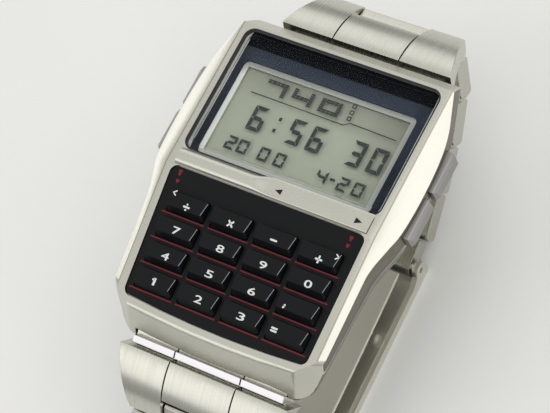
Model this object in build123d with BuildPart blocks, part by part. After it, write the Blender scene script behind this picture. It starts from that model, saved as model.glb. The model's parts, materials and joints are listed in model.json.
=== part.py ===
from build123d import *
from math import cos, radians, sin, tan
import os

# Calculator watch. Sizes are millimetres and angles are degrees. The origin is the middle of the
# case back's outer face, +X points to 3 o'clock, +Y to 12 o'clock and +Z up through the face.

overrun = 4.0            # how far every cut runs past the solid that it cuts

# Case
half_length = 21.25      # lug corner at 6 o'clock to the middle of the case
head_length = 21.75      # and the one at 12 o'clock
crest_height = 8.2       # where the display half and the keypad half of the face meet
crest_offset = 0.8       # from the middle of the case towards 6 o'clock
display_angle = 4.0       # the face falls towards 12 o'clock
keypad_angle = 7.5        # and towards 6 o'clock
bezel_half = 15.2        # crease between the flat bezel and the sloping wings
crease_share = 0.037     # sideways over along: the creases draw together towards 6 o'clock
wing_half = 17.7
waist_half = 16.0
foot_half = 15.2
head_half = 14.9
foot_bulge = 0.5
foot_corner = 3.0
head_corner = 1.8
wing_angle = 25.0
wall_height = 4.4        # the side wall is widest here and is undercut below
wall_draw = 1.8
end_draw = 0.2           # the ends draw in much less
back_rim = 0.25          # the case's lower rim stands this far above the case back
foot_crease = 19.4       # where the flat face turns down at 6 o'clock
foot_corner_share = 0.8  # slope of the foot's corner facets in plan, rise over reach
foot_bevel_run = 2.0
foot_bevel_drop = 3.3
head_crease = 20.2
head_bevel_run = 2.0
head_bevel_drop = 3.3
cavity_half = 12.7
lug_wall = 1.7           # between the cavity and the slots of the end links
roof = 1.5               # face to the cavity under the display
keypad_roof = 1.1
post_side = 3.0          # corner posts that take the case back screws
post_height = 3.5

# Outline of one side, from the waist to the shoulder: shares of the wing's reach past the waist
# and of the half length
wing_shares = [(0.0, -0.26), (0.35, -0.13), (0.82, 0.0), (1.0, 0.13), (1.0, 0.46), (0.80, 0.63),
               (0.30, 0.79)]

# Crystal and display, in the plane of the face
crystal_half = 14.1
crystal_foot = 2.75
crystal_head = 20.35
crystal_corner = 1.2
crystal_thick = 0.9
crystal_bevel = 0.7
crystal_sink = 0.05
gasket_wall = 0.25
mask_thick = 0.1
window_half = 12.6       # outside of the window frame
window_foot = 3.0
window_head = 16.45
window_rim = 0.75
window_thick = 0.35
lcd_border = 0.3
lcd_thick = 0.85
backlight_thick = 0.2
zebra_width = 1.2
layer_gap = 0.05

# Divider bar between display and keypad
bar_half = 14.0
bar_foot = 0.25
bar_width = 2.2
bar_rise = 0.55
bar_seat = 0.7
pad_left = 2.3           # the pad's left end lies this far left of the middle
pad_rise = 0.3
pad_lap = 0.4            # the pad reaches this far over the edge of the crystal

# Keypad, in its own plane
panel_head_half = 14.1
panel_foot_half = 13.3
panel_length = 17.6
panel_bulge = 0.6
panel_corner = 1.1
panel_thick = 0.5
panel_sink = 0.08
panel_ledge = 0.5
columns = 4
rows = 4
column_step = 6.45
row_step = 3.37
first_row = 4.4          # crest to the middle of the first row
key_width = 5.5
key_depth = 2.5
key_rise = 0.75
key_draw = 0.35
key_corner = 0.35
key_flange = 0.2         # the flange under each key reaches this far past its sides
key_flange_thick = 0.35
key_fit = 0.12
key_travel = 0.45
membrane_thick = 0.45
board_thick = 0.22

# Case back and module
back_lap = 0.5           # how far the back reaches past the cavity
back_thick = 0.8
back_corner = 2.5
back_fit = 0.06
seal_wall = 0.35
seal_thick = 0.25
screw_head_radius = 1.1
screw_radius = 0.6
screw_length = 3.0
screw_head_thick = 0.5
battery_radius = 10.0
battery_thick = 2.5
battery_y = 5.4
battery_floor = 1.1
clip_width = 5.0
clip_thick = 0.2
pcb_floor = 3.7
pcb_thick = 0.5
pcb_half = 11.9
pcb_foot = 6.4
pcb_head = 16.8
frame_half = 12.3
frame_wall = 1.4
frame_floor = 1.2
module_fit = 0.3
buzzer_radius = 6.0
buzzer_thick = 0.2
buzzer_offset = 9.6      # towards 6 o'clock
chip_side = 4.6
chip_thick = 0.5
chip_y = 7.0
quartz_radius = 0.6
quartz_length = 5.0
quartz_offset = 2.8      # towards 6 o'clock

# Side pushers
pusher_proud = 1.05      # how far a pusher stands out past the wing
pusher_length = 5.7
pusher_height = 2.1
pusher_top = 1.85        # face to the pusher's upper side
pusher_bevel = 0.45
pusher_body = 1.55
pusher_travel = 0.6
pusher_fit = 0.1
pusher_first = 4.75      # crest to the lower pusher's middle
pusher_step = 6.6
stem_radius = 0.55
stem_collar = 0.85
collar_thick = 0.3
stem_fit = 0.05
ring_wall = 0.25
ring_thick = 0.5

# Bracelet
lug_y = 20.3             # spring bar to the middle of the case
lug_z = 1.35
lug_slot_half = 11.3
lug_reach = 11.8         # how far the spring bar's tips reach into the lugs
tab_radius = 1.05
tab_fit = 0.15
bar_radius = 0.7
bar_tip = 0.4
end_length = 8.37        # spring bar to the first pin
end_half = 12.4
end_rise = 2.55
end_crown = 2.9
crown_share = 0.6        # the arch is highest this share of the way along
end_start = 1.7
strip_start = 0.45       # raised strip on the tabs at 6 o'clock, seen beside the case
strip_width = 0.95
strip_rise = 1.8
link_length = 6.6
link_half_thick = 1.25
link_gap = 0.3
link_edge = 0.3
part_gap = 0.15
centre_half = 4.8
first_half = 9.8         # half width of the first link
last_half = 9.3          # and of the last one
pin_radius = 0.6
pin_fit = 0.06
pin_inset = 0.8
rivet_radius = 0.5
twelve_angles = [23.4, 112.0, 138.0, 148.0, 154.0, 170.0]
six_angles = [29.0, 50.0, 88.0, 145.5]
clasp_link_length = 5.05

# Clasp
cover_half = 10.0
cover_thick = 0.8
cover_lip = 1.3
cover_turn_up = 0.5
ear_thick = 0.8
ear_radius = 1.15
ear_fit = 0.4
clasp_bar_radius = 0.55
clasp_bar_tip_fit = 0.15
blade_thick = 0.6
inner_half = 8.2
middle_half = 6.4
eye_half = 4.7
eye_radius = 1.1
knuckle_radius = 0.7
knuckle_width = 0.9
knuckle_pin = 0.35
latch_end = 1.9          # inner blade's free end to the clasp bar
fold_place = 10.1        # hinge of the two blades to the clasp bar
fold_rise = 0.22
hinge_drop = 0.55        # the cover's hinge lies this far below the blades' hinge
cover_hinge_place = 3.8  # hinge of cover and middle blade to the last link's pin
blade_lift = 2.2         # inner blade's free end above the clasp bar
latch_stud = 0.6


def face_plane(angle):
    """Plane of one half of the face: its own Y runs along the face towards 12 o'clock."""
    lean = radians(angle)
    return Plane(origin=(0, -crest_offset, crest_height), x_dir=(1, 0, 0), z_dir=(0, sin(lean), cos(lean)))


display = face_plane(display_angle)
keypad = face_plane(-keypad_angle)


def droop_plane(side, y, z, droop):
    """Plane across the bracelet: X along the band away from the head, Y out of the band."""
    lean = radians(droop)
    return Plane(origin=(0, y, z), x_dir=(0, side * cos(lean), -sin(lean)), z_dir=(side, 0, 0))


def pin_places(side, angles, lengths):
    """Spring bar and pins of one half of the bracelet, from the lug outwards."""
    places = [(side * lug_y, lug_z)]
    for droop, length in zip(angles, lengths):
        y, z = places[-1]
        lean = radians(droop)
        places.append((y + side * length * cos(lean), z - length * sin(lean)))
    return places


twelve_lengths = [end_length] + [link_length] * (len(twelve_angles) - 2) + [clasp_link_length]
six_lengths = [end_length] + [link_length] * (len(six_angles) - 1)
twelve_pins = pin_places(1, twelve_angles, twelve_lengths)
six_pins = pin_places(-1, six_angles, six_lengths)
print("pins towards 12 o'clock", [(round(y, 3), round(z, 3)) for y, z in twelve_pins])
print("pins towards 6 o'clock", [(round(y, 3), round(z, 3)) for y, z in six_pins])

os.makedirs("parts", exist_ok=True)


def save(piece, name):
    """Labels a finished piece and writes it under its own name."""
    piece.label = name
    export_step(piece, "parts/" + name + ".step")


# Case body

def case_outline(inset, end_inset):
    """Plan of the case: rounded foot, waist, wings and shoulders, drawn in at sides and ends."""
    reach = wing_half - waist_half
    sides = [(waist_half + x_share * reach - inset, y_share * half_length)
             for x_share, y_share in wing_shares]
    head = head_length - end_inset
    foot = end_inset - half_length
    with BuildSketch() as outline:
        with BuildLine():
            base = ThreePointArc((inset - foot_half, foot), (0, foot - foot_bulge),
                                 (foot_half - inset, foot))
            lower = Line(base @ 1, sides[0])
            wing = Spline(sides)
            shoulder = Line(wing @ 1, (head_half - inset, head))
            mirror([lower, wing, shoulder], about=Plane.YZ)
            Line((inset - head_half, head), (head_half - inset, head))
        make_face()
        corners = vertices().sort_by(Axis.Y)
        fillet(corners[:2], foot_corner)
        fillet(corners[-2:], head_corner)
    return outline.sketch


low_outline = case_outline(wall_draw, end_draw)
wide_outline = case_outline(0, 0)

with BuildPart() as plan_block:
    with BuildSketch(Plane.XY.offset(back_rim)):
        add(low_outline)
    with BuildSketch(Plane.XY.offset(wall_height)) as wide:
        add(wide_outline)
    loft(ruled=True)
    extrude(wide.sketch, amount=crest_height - wall_height + overrun)

wing_reach = wing_half + overrun
wing_drop = (wing_reach - bezel_half) * tan(radians(wing_angle))
section_plane = Plane(origin=(0, -crest_offset, 0), x_dir=(1, 0, 0), z_dir=(0, -1, 0))

with BuildPart() as foot_block:
    with BuildSketch(section_plane, mode=Mode.PRIVATE) as section:
        with BuildLine():
            Polyline((-wing_reach, -overrun), (wing_reach, -overrun),
                     (wing_reach, crest_height - wing_drop), (bezel_half, crest_height),
                     (-bezel_half, crest_height), (-wing_reach, crest_height - wing_drop),
                     close=True)
        make_face()
    extrude(section.sketch, amount=half_length + overrun,
            dir=-keypad.y_dir - keypad.x_dir * crease_share)
    extrude(section.sketch, amount=half_length + overrun,
            dir=-keypad.y_dir + keypad.x_dir * crease_share, mode=Mode.INTERSECT)

with BuildPart() as roof_block:
    extrude(section.sketch, amount=half_length + overrun, dir=display.y_dir)
    add(foot_block.part)

far = head_length + overrun
foot_along = (foot_crease - crest_offset) / cos(radians(keypad_angle))
head_along = (head_crease + crest_offset) / cos(radians(display_angle))
shoulder_along = (wing_shares[-1][1] * half_length + crest_offset) / cos(radians(display_angle))
crease_half = foot_half - foot_corner
crease_side = foot_bulge - foot_along + (wing_reach - crease_half) * foot_corner_share
crystal_under = crystal_sink + crystal_thick + mask_thick
panel_under = panel_sink + panel_thick
side_plane = Plane(origin=display.origin, x_dir=display.y_dir, z_dir=(1, 0, 0))
pusher_reach = wing_half + pusher_proud
pusher_middles = [pusher_first, pusher_first + pusher_step]
pusher_drop = pusher_top + pusher_height / 2
pusher_floor = pusher_reach - pusher_body - pusher_travel - pusher_fit
collar_stop = pusher_floor - ring_thick - collar_thick - pusher_travel - stem_collar
slot_inner = lug_y - tab_radius - tab_fit
slot_roof = lug_z + tab_radius + tab_fit
cavity_end = slot_inner - lug_wall
cavity_length = 2 * cavity_end
back_half = cavity_half + back_lap
back_length = cavity_length + 2 * back_lap


def span(low, high):
    """Middle and length of a stretch."""
    return (low + high) / 2, high - low


def panel_outline(grow):
    """Keypad panel seen from above: it narrows to a bowed foot."""
    with BuildSketch() as outline:
        with BuildLine():
            head = Line((-panel_head_half - grow, grow), (panel_head_half + grow, grow))
            foot = ThreePointArc((panel_foot_half + grow, panel_bulge - panel_length - grow),
                                 (0, -panel_length - grow),
                                 (-panel_foot_half - grow, panel_bulge - panel_length - grow))
            Line(head @ 1, foot @ 0)
            Line(foot @ 1, head @ 0)
        make_face()
        fillet(vertices(), panel_corner)
    return outline.sketch


recess_outline = panel_outline(key_fit)
window_outline = panel_outline(-panel_ledge)
fascia_outline = panel_outline(0)


def frame_outline(half, foot, head, corner):
    """Rounded rectangle in the display's plane."""
    middle, length = span(foot, head)
    with BuildSketch() as outline:
        with Locations((0, middle)):
            RectangleRounded(2 * half, length, corner)
    return outline.sketch


pocket_outline = frame_outline(crystal_half + gasket_wall, crystal_foot - gasket_wall,
                               crystal_head + gasket_wall, crystal_corner + gasket_wall)
crystal_outline = frame_outline(crystal_half, crystal_foot, crystal_head, crystal_corner)
crystal_top_outline = frame_outline(crystal_half - crystal_bevel, crystal_foot + crystal_bevel,
                                    crystal_head - crystal_bevel, crystal_corner)
window_outside = frame_outline(window_half, window_foot, window_head, window_rim)
window_inside = frame_outline(window_half - window_rim, window_foot + window_rim,
                              window_head - window_rim, layer_gap)
window_hole = frame_outline(window_half + layer_gap, window_foot - layer_gap,
                            window_head + layer_gap, window_rim)

screw_places = [(side * (cavity_half - post_side / 2), end * (cavity_end - post_side / 2))
                for side in (-1, 1) for end in (-1, 1)]

with BuildPart() as cavity:
    with BuildSketch(section_plane, mode=Mode.PRIVATE) as high_side:
        with Locations((0, (crest_height - roof - overrun) / 2)):
            Rectangle(2 * cavity_half, crest_height - roof + overrun)
    extrude(high_side.sketch, amount=far, dir=display.y_dir)
    with BuildSketch(section_plane, mode=Mode.PRIVATE) as low_side:
        with Locations((0, (crest_height - keypad_roof - overrun) / 2)):
            Rectangle(2 * cavity_half, crest_height - keypad_roof + overrun)
    extrude(low_side.sketch, amount=far, dir=-keypad.y_dir)
    with BuildSketch(Plane.XY):
        Rectangle(2 * cavity_half, cavity_length)
    extrude(amount=crest_height, mode=Mode.INTERSECT)
    with BuildSketch(Plane.XY):
        with Locations(screw_places):
            Rectangle(post_side, post_side)
    extrude(amount=post_height, mode=Mode.SUBTRACT)

with BuildPart() as case_body:
    add(plan_block.part)
    add(roof_block.part, mode=Mode.INTERSECT)
    # bevel towards 6 o'clock, with its crease bowed like the foot
    with BuildSketch(keypad, mode=Mode.PRIVATE) as foot_side:
        with BuildLine():
            crease = ThreePointArc((-crease_half, foot_bulge - foot_along), (0, -foot_along),
                                   (crease_half, foot_bulge - foot_along))
            Polyline(crease @ 1, (wing_reach, crease_side), (wing_reach, -far),
                     (-wing_reach, -far), (-wing_reach, crease_side), crease @ 0)
        make_face()
    extrude(foot_side.sketch, amount=crest_height, dir=(0, -foot_bevel_run, -foot_bevel_drop),
            mode=Mode.SUBTRACT)
    # slope behind the display, with rounded corners
    with BuildSketch(display, mode=Mode.PRIVATE) as head_side:
        with BuildLine():
            Polyline((bezel_half, head_along), (wing_reach, shoulder_along), (wing_reach, far),
                     (-wing_reach, far), (-wing_reach, shoulder_along), (-bezel_half, head_along),
                     close=True)
        make_face()
        fillet(vertices().group_by(Axis.Y)[1], head_corner)
    extrude(head_side.sketch, amount=crest_height, dir=(0, head_bevel_run, -head_bevel_drop),
            mode=Mode.SUBTRACT)
    # seats for crystal, window frame, divider bar and keypad
    with BuildSketch(display):
        add(pocket_outline)
    extrude(amount=-crystal_under - layer_gap, mode=Mode.SUBTRACT)
    with BuildSketch(display):
        add(window_hole)
    extrude(amount=-roof - overrun / 2, mode=Mode.SUBTRACT)
    with BuildSketch(display):
        with Locations((0, bar_foot + bar_width / 2)):
            Rectangle(2 * bar_half + layer_gap, bar_width + layer_gap)
    extrude(amount=-bar_seat, mode=Mode.SUBTRACT)
    with BuildSketch(keypad):
        add(recess_outline)
    extrude(amount=-panel_under, mode=Mode.SUBTRACT)
    with BuildSketch(keypad):
        add(window_outline)
    extrude(amount=-keypad_roof - panel_ledge, mode=Mode.SUBTRACT)
    # module cavity, case back recess and its seal
    add(cavity.part, mode=Mode.SUBTRACT)
    with BuildSketch(Plane.XY):
        RectangleRounded(2 * (back_half + back_fit), back_length + 2 * back_fit, back_corner)
    extrude(amount=back_thick, mode=Mode.SUBTRACT)
    with BuildSketch(Plane.XY):
        RectangleRounded(2 * (back_half - back_fit), back_length - 2 * back_fit, back_corner)
    extrude(amount=back_thick + seal_thick, mode=Mode.SUBTRACT)
    with Locations(screw_places):
        Cylinder(screw_radius + back_fit / 2, 2 * (screw_length + layer_gap), mode=Mode.SUBTRACT)
    # slots for the end links, with holes for the spring bars
    with BuildSketch(Plane.XY.offset(slot_roof)):
        for side in (-1, 1):
            with Locations((0, side * (slot_inner + far) / 2)):
                Rectangle(2 * lug_slot_half, far - slot_inner)
    extrude(amount=-crest_height, mode=Mode.SUBTRACT)
    with BuildSketch(Plane.YZ):
        with Locations((lug_y, lug_z), (-lug_y, lug_z)):
            Circle(bar_tip + pin_fit)
    extrude(amount=lug_reach + pin_fit, both=True, mode=Mode.SUBTRACT)
    # pusher pockets and bores
    for side in (-1, 1):
        for middle in pusher_middles:
            with BuildSketch(side_plane.offset(side * pusher_floor)):
                with Locations((middle, -pusher_drop)):
                    Rectangle(pusher_length + 2 * pusher_fit, pusher_height + 2 * pusher_fit)
            extrude(amount=side * overrun, mode=Mode.SUBTRACT)
            with BuildSketch(side_plane.offset(side * pusher_floor)):
                with Locations((middle, -pusher_drop)):
                    Circle(stem_radius + stem_fit)
            extrude(amount=side * (cavity_half - pusher_floor - layer_gap), mode=Mode.SUBTRACT)
            with BuildSketch(side_plane.offset(side * pusher_floor)):
                with Locations((middle, -pusher_drop)):
                    Circle(stem_radius + ring_wall)
            extrude(amount=-side * ring_thick, mode=Mode.SUBTRACT)
            with BuildSketch(side_plane.offset(side * (cavity_half - layer_gap))):
                with Locations((middle, -pusher_drop)):
                    Circle(stem_collar + stem_fit)
            extrude(amount=side * (collar_stop - cavity_half + layer_gap), mode=Mode.SUBTRACT)

save(case_body.part, "case_body")

# Face of the display half

crystal_floor = crystal_sink + crystal_thick

with BuildPart() as crystal:
    with BuildSketch(display.offset(-crystal_floor)):
        add(crystal_outline)
    extrude(amount=crystal_thick / 2)
    with BuildSketch(display.offset(-crystal_sink - crystal_thick / 2)):
        add(crystal_outline)
    with BuildSketch(display.offset(-crystal_sink)):
        add(crystal_top_outline)
    loft()
save(crystal.part, "crystal")

with BuildPart() as crystal_gasket:
    with BuildSketch(display.offset(-crystal_floor)):
        add(pocket_outline)
        add(crystal_outline, mode=Mode.SUBTRACT)
    extrude(amount=crystal_thick - layer_gap)
save(crystal_gasket.part, "crystal_gasket")

with BuildPart() as display_mask:
    with BuildSketch(display.offset(-crystal_under)):
        add(crystal_outline)
        add(window_outside, mode=Mode.SUBTRACT)
    extrude(amount=mask_thick)
save(display_mask.part, "display_mask")

window_top = crystal_under + layer_gap

with BuildPart() as window_frame:
    with BuildSketch(display.offset(-window_top - window_thick)):
        add(window_outside)
        add(window_inside, mode=Mode.SUBTRACT)
    extrude(amount=window_thick)
save(window_frame.part, "window_frame")

lcd_top = window_top + window_thick + layer_gap
lcd_under = lcd_top + lcd_thick
lcd_middle, lcd_length = span(window_foot + lcd_border, window_head - lcd_border)

with BuildPart() as lcd_panel:
    with BuildSketch(display.offset(-lcd_under)):
        with Locations((0, lcd_middle)):
            Rectangle(2 * (window_half - lcd_border), lcd_length)
    extrude(amount=lcd_thick)
save(lcd_panel.part, "lcd_panel")

zebra_reach = lcd_length / 2 - zebra_width / 2

with BuildPart() as backlight_panel:
    with BuildSketch(display.offset(-lcd_under - layer_gap)):
        with Locations((0, lcd_middle)):
            Rectangle(2 * (window_half - zebra_width), 2 * zebra_reach - zebra_width - lcd_border)
    extrude(amount=-backlight_thick)
save(backlight_panel.part, "backlight_panel")

# conductive rubber strips from the circuit board up to the display
with BuildPart() as zebra_connectors:
    with BuildSketch(display.offset(-lcd_under - layer_gap), mode=Mode.PRIVATE) as strips:
        with Locations((0, lcd_middle - zebra_reach), (0, lcd_middle + zebra_reach)):
            Rectangle(2 * (window_half - zebra_width), zebra_width)
    extrude(strips.sketch, amount=crest_height, dir=(0, 0, -1))
    with BuildSketch(Plane.XY.offset(pcb_floor + pcb_thick)):
        Rectangle(2 * far, 2 * far)
    extrude(amount=-crest_height, mode=Mode.SUBTRACT)
save(zebra_connectors.part, "zebra_connectors")

# Divider bar: half round, with a flat pad on its right part
bar_middle = bar_foot + bar_width / 2
pad_middle, pad_length = span(-pad_left, bar_half)

with BuildPart() as divider_bar:
    with BuildSketch(display):
        with Locations((0, bar_middle)):
            Rectangle(2 * bar_half, bar_width)
    extrude(amount=-bar_seat)
    with BuildSketch(side_plane.offset(-bar_half)):
        with BuildLine():
            bow = ThreePointArc((bar_foot, 0), (bar_middle, bar_rise), (bar_foot + bar_width, 0))
            Line(bow @ 1, bow @ 0)
        make_face()
    extrude(amount=2 * bar_half)
    with BuildSketch(display.offset(pad_rise)):
        with Locations((pad_middle, bar_middle)):
            Rectangle(pad_length, bar_width)
    extrude(amount=overrun, mode=Mode.SUBTRACT)
    with BuildSketch(display):
        with Locations((pad_middle, bar_middle)):
            Rectangle(pad_length, bar_width)
    extrude(amount=pad_rise)
    with BuildSketch(display.offset(layer_gap)):
        with Locations((pad_middle, bar_middle + pad_lap / 2)):
            Rectangle(pad_length, bar_width + pad_lap)
    extrude(amount=pad_rise - layer_gap)
save(divider_bar.part, "divider_bar")

# Keypad

key_names = ["divide", "multiply", "minus", "plus", "seven", "eight", "nine", "zero",
             "four", "five", "six", "point", "one", "two", "three", "equals"]
key_places = [((column - (columns - 1) / 2) * column_step, -first_row - row * row_step)
              for row in range(rows) for column in range(columns)]
flange_top = panel_under + layer_gap
flange_under = flange_top + key_flange_thick
membrane_top = flange_under + key_travel + layer_gap
membrane_middle, membrane_length = span(crest_offset - cavity_end + module_fit,
                                        row_step - first_row - key_flange)

with BuildPart() as keypad_fascia:
    with BuildSketch(keypad.offset(-panel_under)):
        add(fascia_outline)
        with Locations(key_places):
            RectangleRounded(key_width + 2 * key_fit, key_depth + 2 * key_fit, key_corner,
                             mode=Mode.SUBTRACT)
    extrude(amount=panel_thick)
save(keypad_fascia.part, "keypad_fascia")

for name, (x, along) in zip(key_names, key_places):
    middle = keypad.from_local_coords(Vector(x, along, 0))
    seat = Plane(origin=middle, x_dir=keypad.x_dir, z_dir=keypad.z_dir)
    with BuildPart() as key:
        with BuildSketch(seat.offset(-flange_under)):
            Rectangle(key_width + 2 * key_flange, key_depth + 2 * key_flange)
        extrude(amount=key_flange_thick)
        with BuildSketch(seat.offset(-flange_under)):
            RectangleRounded(key_width, key_depth, key_corner)
        extrude(amount=flange_under)
        with BuildSketch(seat):
            RectangleRounded(key_width, key_depth, key_corner)
        with BuildSketch(seat.offset(key_rise)):
            RectangleRounded(key_width - 2 * key_draw, key_depth - 2 * key_draw,
                             key_corner - key_draw / 2)
        loft()
    save(key.part, "key_" + name)

with BuildPart() as keypad_membrane:
    with BuildSketch(keypad.offset(-membrane_top)):
        with Locations((0, membrane_middle)):
            Rectangle(2 * (cavity_half - module_fit), membrane_length)
    extrude(amount=-membrane_thick)
save(keypad_membrane.part, "keypad_membrane")

board_top = membrane_top + membrane_thick + layer_gap

with BuildPart() as keypad_board:
    with BuildSketch(keypad.offset(-board_top)):
        with Locations((0, membrane_middle)):
            Rectangle(2 * (cavity_half - module_fit), membrane_length)
    extrude(amount=-board_thick)
save(keypad_board.part, "keypad_board")

# Case back

with BuildPart() as case_back:
    with BuildSketch(Plane.XY):
        RectangleRounded(2 * back_half, back_length, back_corner)
    extrude(amount=back_thick)
    with Locations([(x, y, 0) for x, y in screw_places]):
        Cylinder(screw_radius + back_fit, 2 * crest_height, mode=Mode.SUBTRACT)
        Cylinder(screw_head_radius + back_fit, 2 * screw_head_thick, mode=Mode.SUBTRACT)
save(case_back.part, "case_back")

with BuildPart() as case_back_gasket:
    with BuildSketch(Plane.XY.offset(back_thick)):
        RectangleRounded(2 * (cavity_half + seal_wall), cavity_length + 2 * seal_wall, back_corner)
        RectangleRounded(2 * cavity_half, cavity_length, back_corner - seal_wall,
                         mode=Mode.SUBTRACT)
    extrude(amount=seal_thick - layer_gap)
save(case_back_gasket.part, "case_back_gasket")

with BuildPart() as case_back_screws:
    with BuildSketch(Plane.XY):
        with Locations(screw_places):
            Circle(screw_head_radius)
            Rectangle(2 * screw_head_radius, screw_head_thick / 2, mode=Mode.SUBTRACT)
    extrude(amount=screw_head_thick / 2)
    with BuildSketch(Plane.XY.offset(screw_head_thick / 2)):
        with Locations(screw_places):
            Circle(screw_head_radius)
    extrude(amount=screw_head_thick / 2)
    with BuildSketch(Plane.XY.offset(screw_head_thick)):
        with Locations(screw_places):
            Circle(screw_radius)
    extrude(amount=screw_length - screw_head_thick)
save(case_back_screws.part, "case_back_screws")

# Module

with BuildPart() as circuit_board:
    middle, length = span(-pcb_foot, pcb_head)
    with BuildSketch(Plane.XY.offset(pcb_floor)):
        with Locations((0, middle)):
            Rectangle(2 * pcb_half, length)
    extrude(amount=pcb_thick)
save(circuit_board.part, "circuit_board")

frame_top = pcb_floor - layer_gap
frame_length = cavity_length - 2 * module_fit

with BuildPart() as module_frame:
    with BuildSketch(Plane.XY.offset(frame_floor)):
        Rectangle(2 * frame_half, frame_length)
        Rectangle(2 * (frame_half - frame_wall), frame_length - 2 * frame_wall,
                  mode=Mode.SUBTRACT)
        with Locations((0, battery_y)):
            Circle(battery_radius + module_fit + frame_wall)
        with Locations(screw_places):
            Rectangle(post_side + 2 * frame_wall, post_side + 2 * frame_wall)
        Rectangle(2 * frame_half, frame_length, mode=Mode.INTERSECT)
        with Locations((0, battery_y)):
            Circle(battery_radius + module_fit, mode=Mode.SUBTRACT)
        with Locations(screw_places):
            Rectangle(post_side + 2 * module_fit, post_side + 2 * module_fit, mode=Mode.SUBTRACT)
    extrude(amount=frame_top - frame_floor)
save(module_frame.part, "module_frame")

with BuildPart() as battery:
    with Locations((0, battery_y, battery_floor)):
        Cylinder(battery_radius, battery_thick, align=(Align.CENTER, Align.CENTER, Align.MIN))
    chamfer(edges().group_by(Axis.Z)[-1], clip_thick)
save(battery.part, "battery")

with BuildPart() as battery_clip:
    with Locations((0, battery_y, back_thick + layer_gap)):
        Box(2 * (battery_radius + frame_wall), clip_width, clip_thick,
            align=(Align.CENTER, Align.CENTER, Align.MIN))
save(battery_clip.part, "battery_clip")

with BuildPart() as buzzer:
    with Locations((0, -buzzer_offset, back_thick + layer_gap)):
        Cylinder(buzzer_radius, buzzer_thick, align=(Align.CENTER, Align.CENTER, Align.MIN))
save(buzzer.part, "buzzer")

with BuildPart() as logic_chip:
    with Locations((0, chip_y, pcb_floor + pcb_thick)):
        Box(chip_side, chip_side, chip_thick, align=(Align.CENTER, Align.CENTER, Align.MIN))
save(logic_chip.part, "logic_chip")

with BuildPart() as quartz_crystal:
    with BuildSketch(Plane.YZ.offset(-quartz_length / 2)):
        with Locations((-quartz_offset, pcb_floor + pcb_thick + quartz_radius)):
            Circle(quartz_radius)
    extrude(amount=quartz_length)
save(quartz_crystal.part, "quartz_crystal")

# Side pushers, named by side and by the end of the case that they are nearer to

pusher_names = {(1, 0): "pusher_right_lower", (1, 1): "pusher_right_upper",
                (-1, 0): "pusher_left_lower", (-1, 1): "pusher_left_upper"}

for (side, number), name in pusher_names.items():
    place = (pusher_middles[number], -pusher_drop)
    with BuildPart() as pusher:
        with BuildSketch(side_plane.offset(side * (pusher_reach - pusher_body))):
            with Locations(place):
                Rectangle(pusher_length, pusher_height)
        extrude(amount=side * (pusher_body - pusher_bevel))
        with BuildSketch(side_plane.offset(side * (pusher_reach - pusher_bevel))):
            with Locations(place):
                Rectangle(pusher_length, pusher_height)
        with BuildSketch(side_plane.offset(side * pusher_reach)):
            with Locations(place):
                Rectangle(pusher_length - 2 * pusher_bevel, pusher_height - 2 * pusher_bevel)
        loft()
        with BuildSketch(side_plane.offset(side * (pusher_reach - pusher_body))):
            with Locations(place):
                Circle(stem_radius)
        extrude(amount=side * (collar_stop - layer_gap - pusher_reach + pusher_body))
        with BuildSketch(side_plane.offset(side * (collar_stop - layer_gap))):
            with Locations(place):
                Circle(stem_collar)
        extrude(amount=-side * collar_thick)
    save(pusher.part, name)

with BuildPart() as pusher_seals:
    for side, number in pusher_names:
        with BuildSketch(side_plane.offset(side * (pusher_floor - layer_gap))):
            with Locations((pusher_middles[number], -pusher_drop)):
                Circle(stem_radius + ring_wall)
                Circle(stem_radius + stem_fit / 2, mode=Mode.SUBTRACT)
        extrude(amount=-side * (ring_thick - layer_gap))
save(pusher_seals.part, "pusher_seals")

# Bracelet

near_edge = link_half_thick + link_gap    # a link's outer parts start this far past its pin


def spring_bar(side):
    """Spring bar with its tips in the lugs."""
    with BuildPart() as bar:
        with BuildSketch(Plane.YZ):
            with Locations((side * lug_y, lug_z)):
                Circle(bar_radius)
        extrude(amount=lug_slot_half - part_gap, both=True)
        with BuildSketch(Plane.YZ):
            with Locations((side * lug_y, lug_z)):
                Circle(bar_tip)
        extrude(amount=lug_reach, both=True)
    return bar.part


def end_profile(last):
    """Side view of the end link: an arched plate that ends square above and round below."""
    with BuildSketch() as profile:
        with BuildLine():
            top = ThreePointArc((end_start, end_rise), (crown_share * end_length, end_crown),
                                (end_length + link_half_thick, link_half_thick))
            drop = Line(top @ 1, (end_length + link_half_thick, 0))
            turn = RadiusArc(drop @ 1, (end_length, -link_half_thick), link_half_thick)
            under = ThreePointArc(turn @ 1, (crown_share * end_length, end_crown - 2 * link_half_thick),
                                  (end_start, -tab_radius))
            Line(under @ 1, top @ 0)
        make_face()
        with Locations((last + far / 2, 0)):
            Rectangle(far, far, mode=Mode.SUBTRACT)
    return profile.sketch


def strip_profile():
    """Side view of the raised strip on the tabs."""
    with BuildSketch() as profile:
        with BuildLine():
            Polyline((strip_start + part_gap, 0), (strip_start, strip_rise),
                     (strip_start + strip_width, strip_rise), (strip_start + strip_width, 0),
                     close=True)
        make_face()
    return profile.sketch


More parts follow.
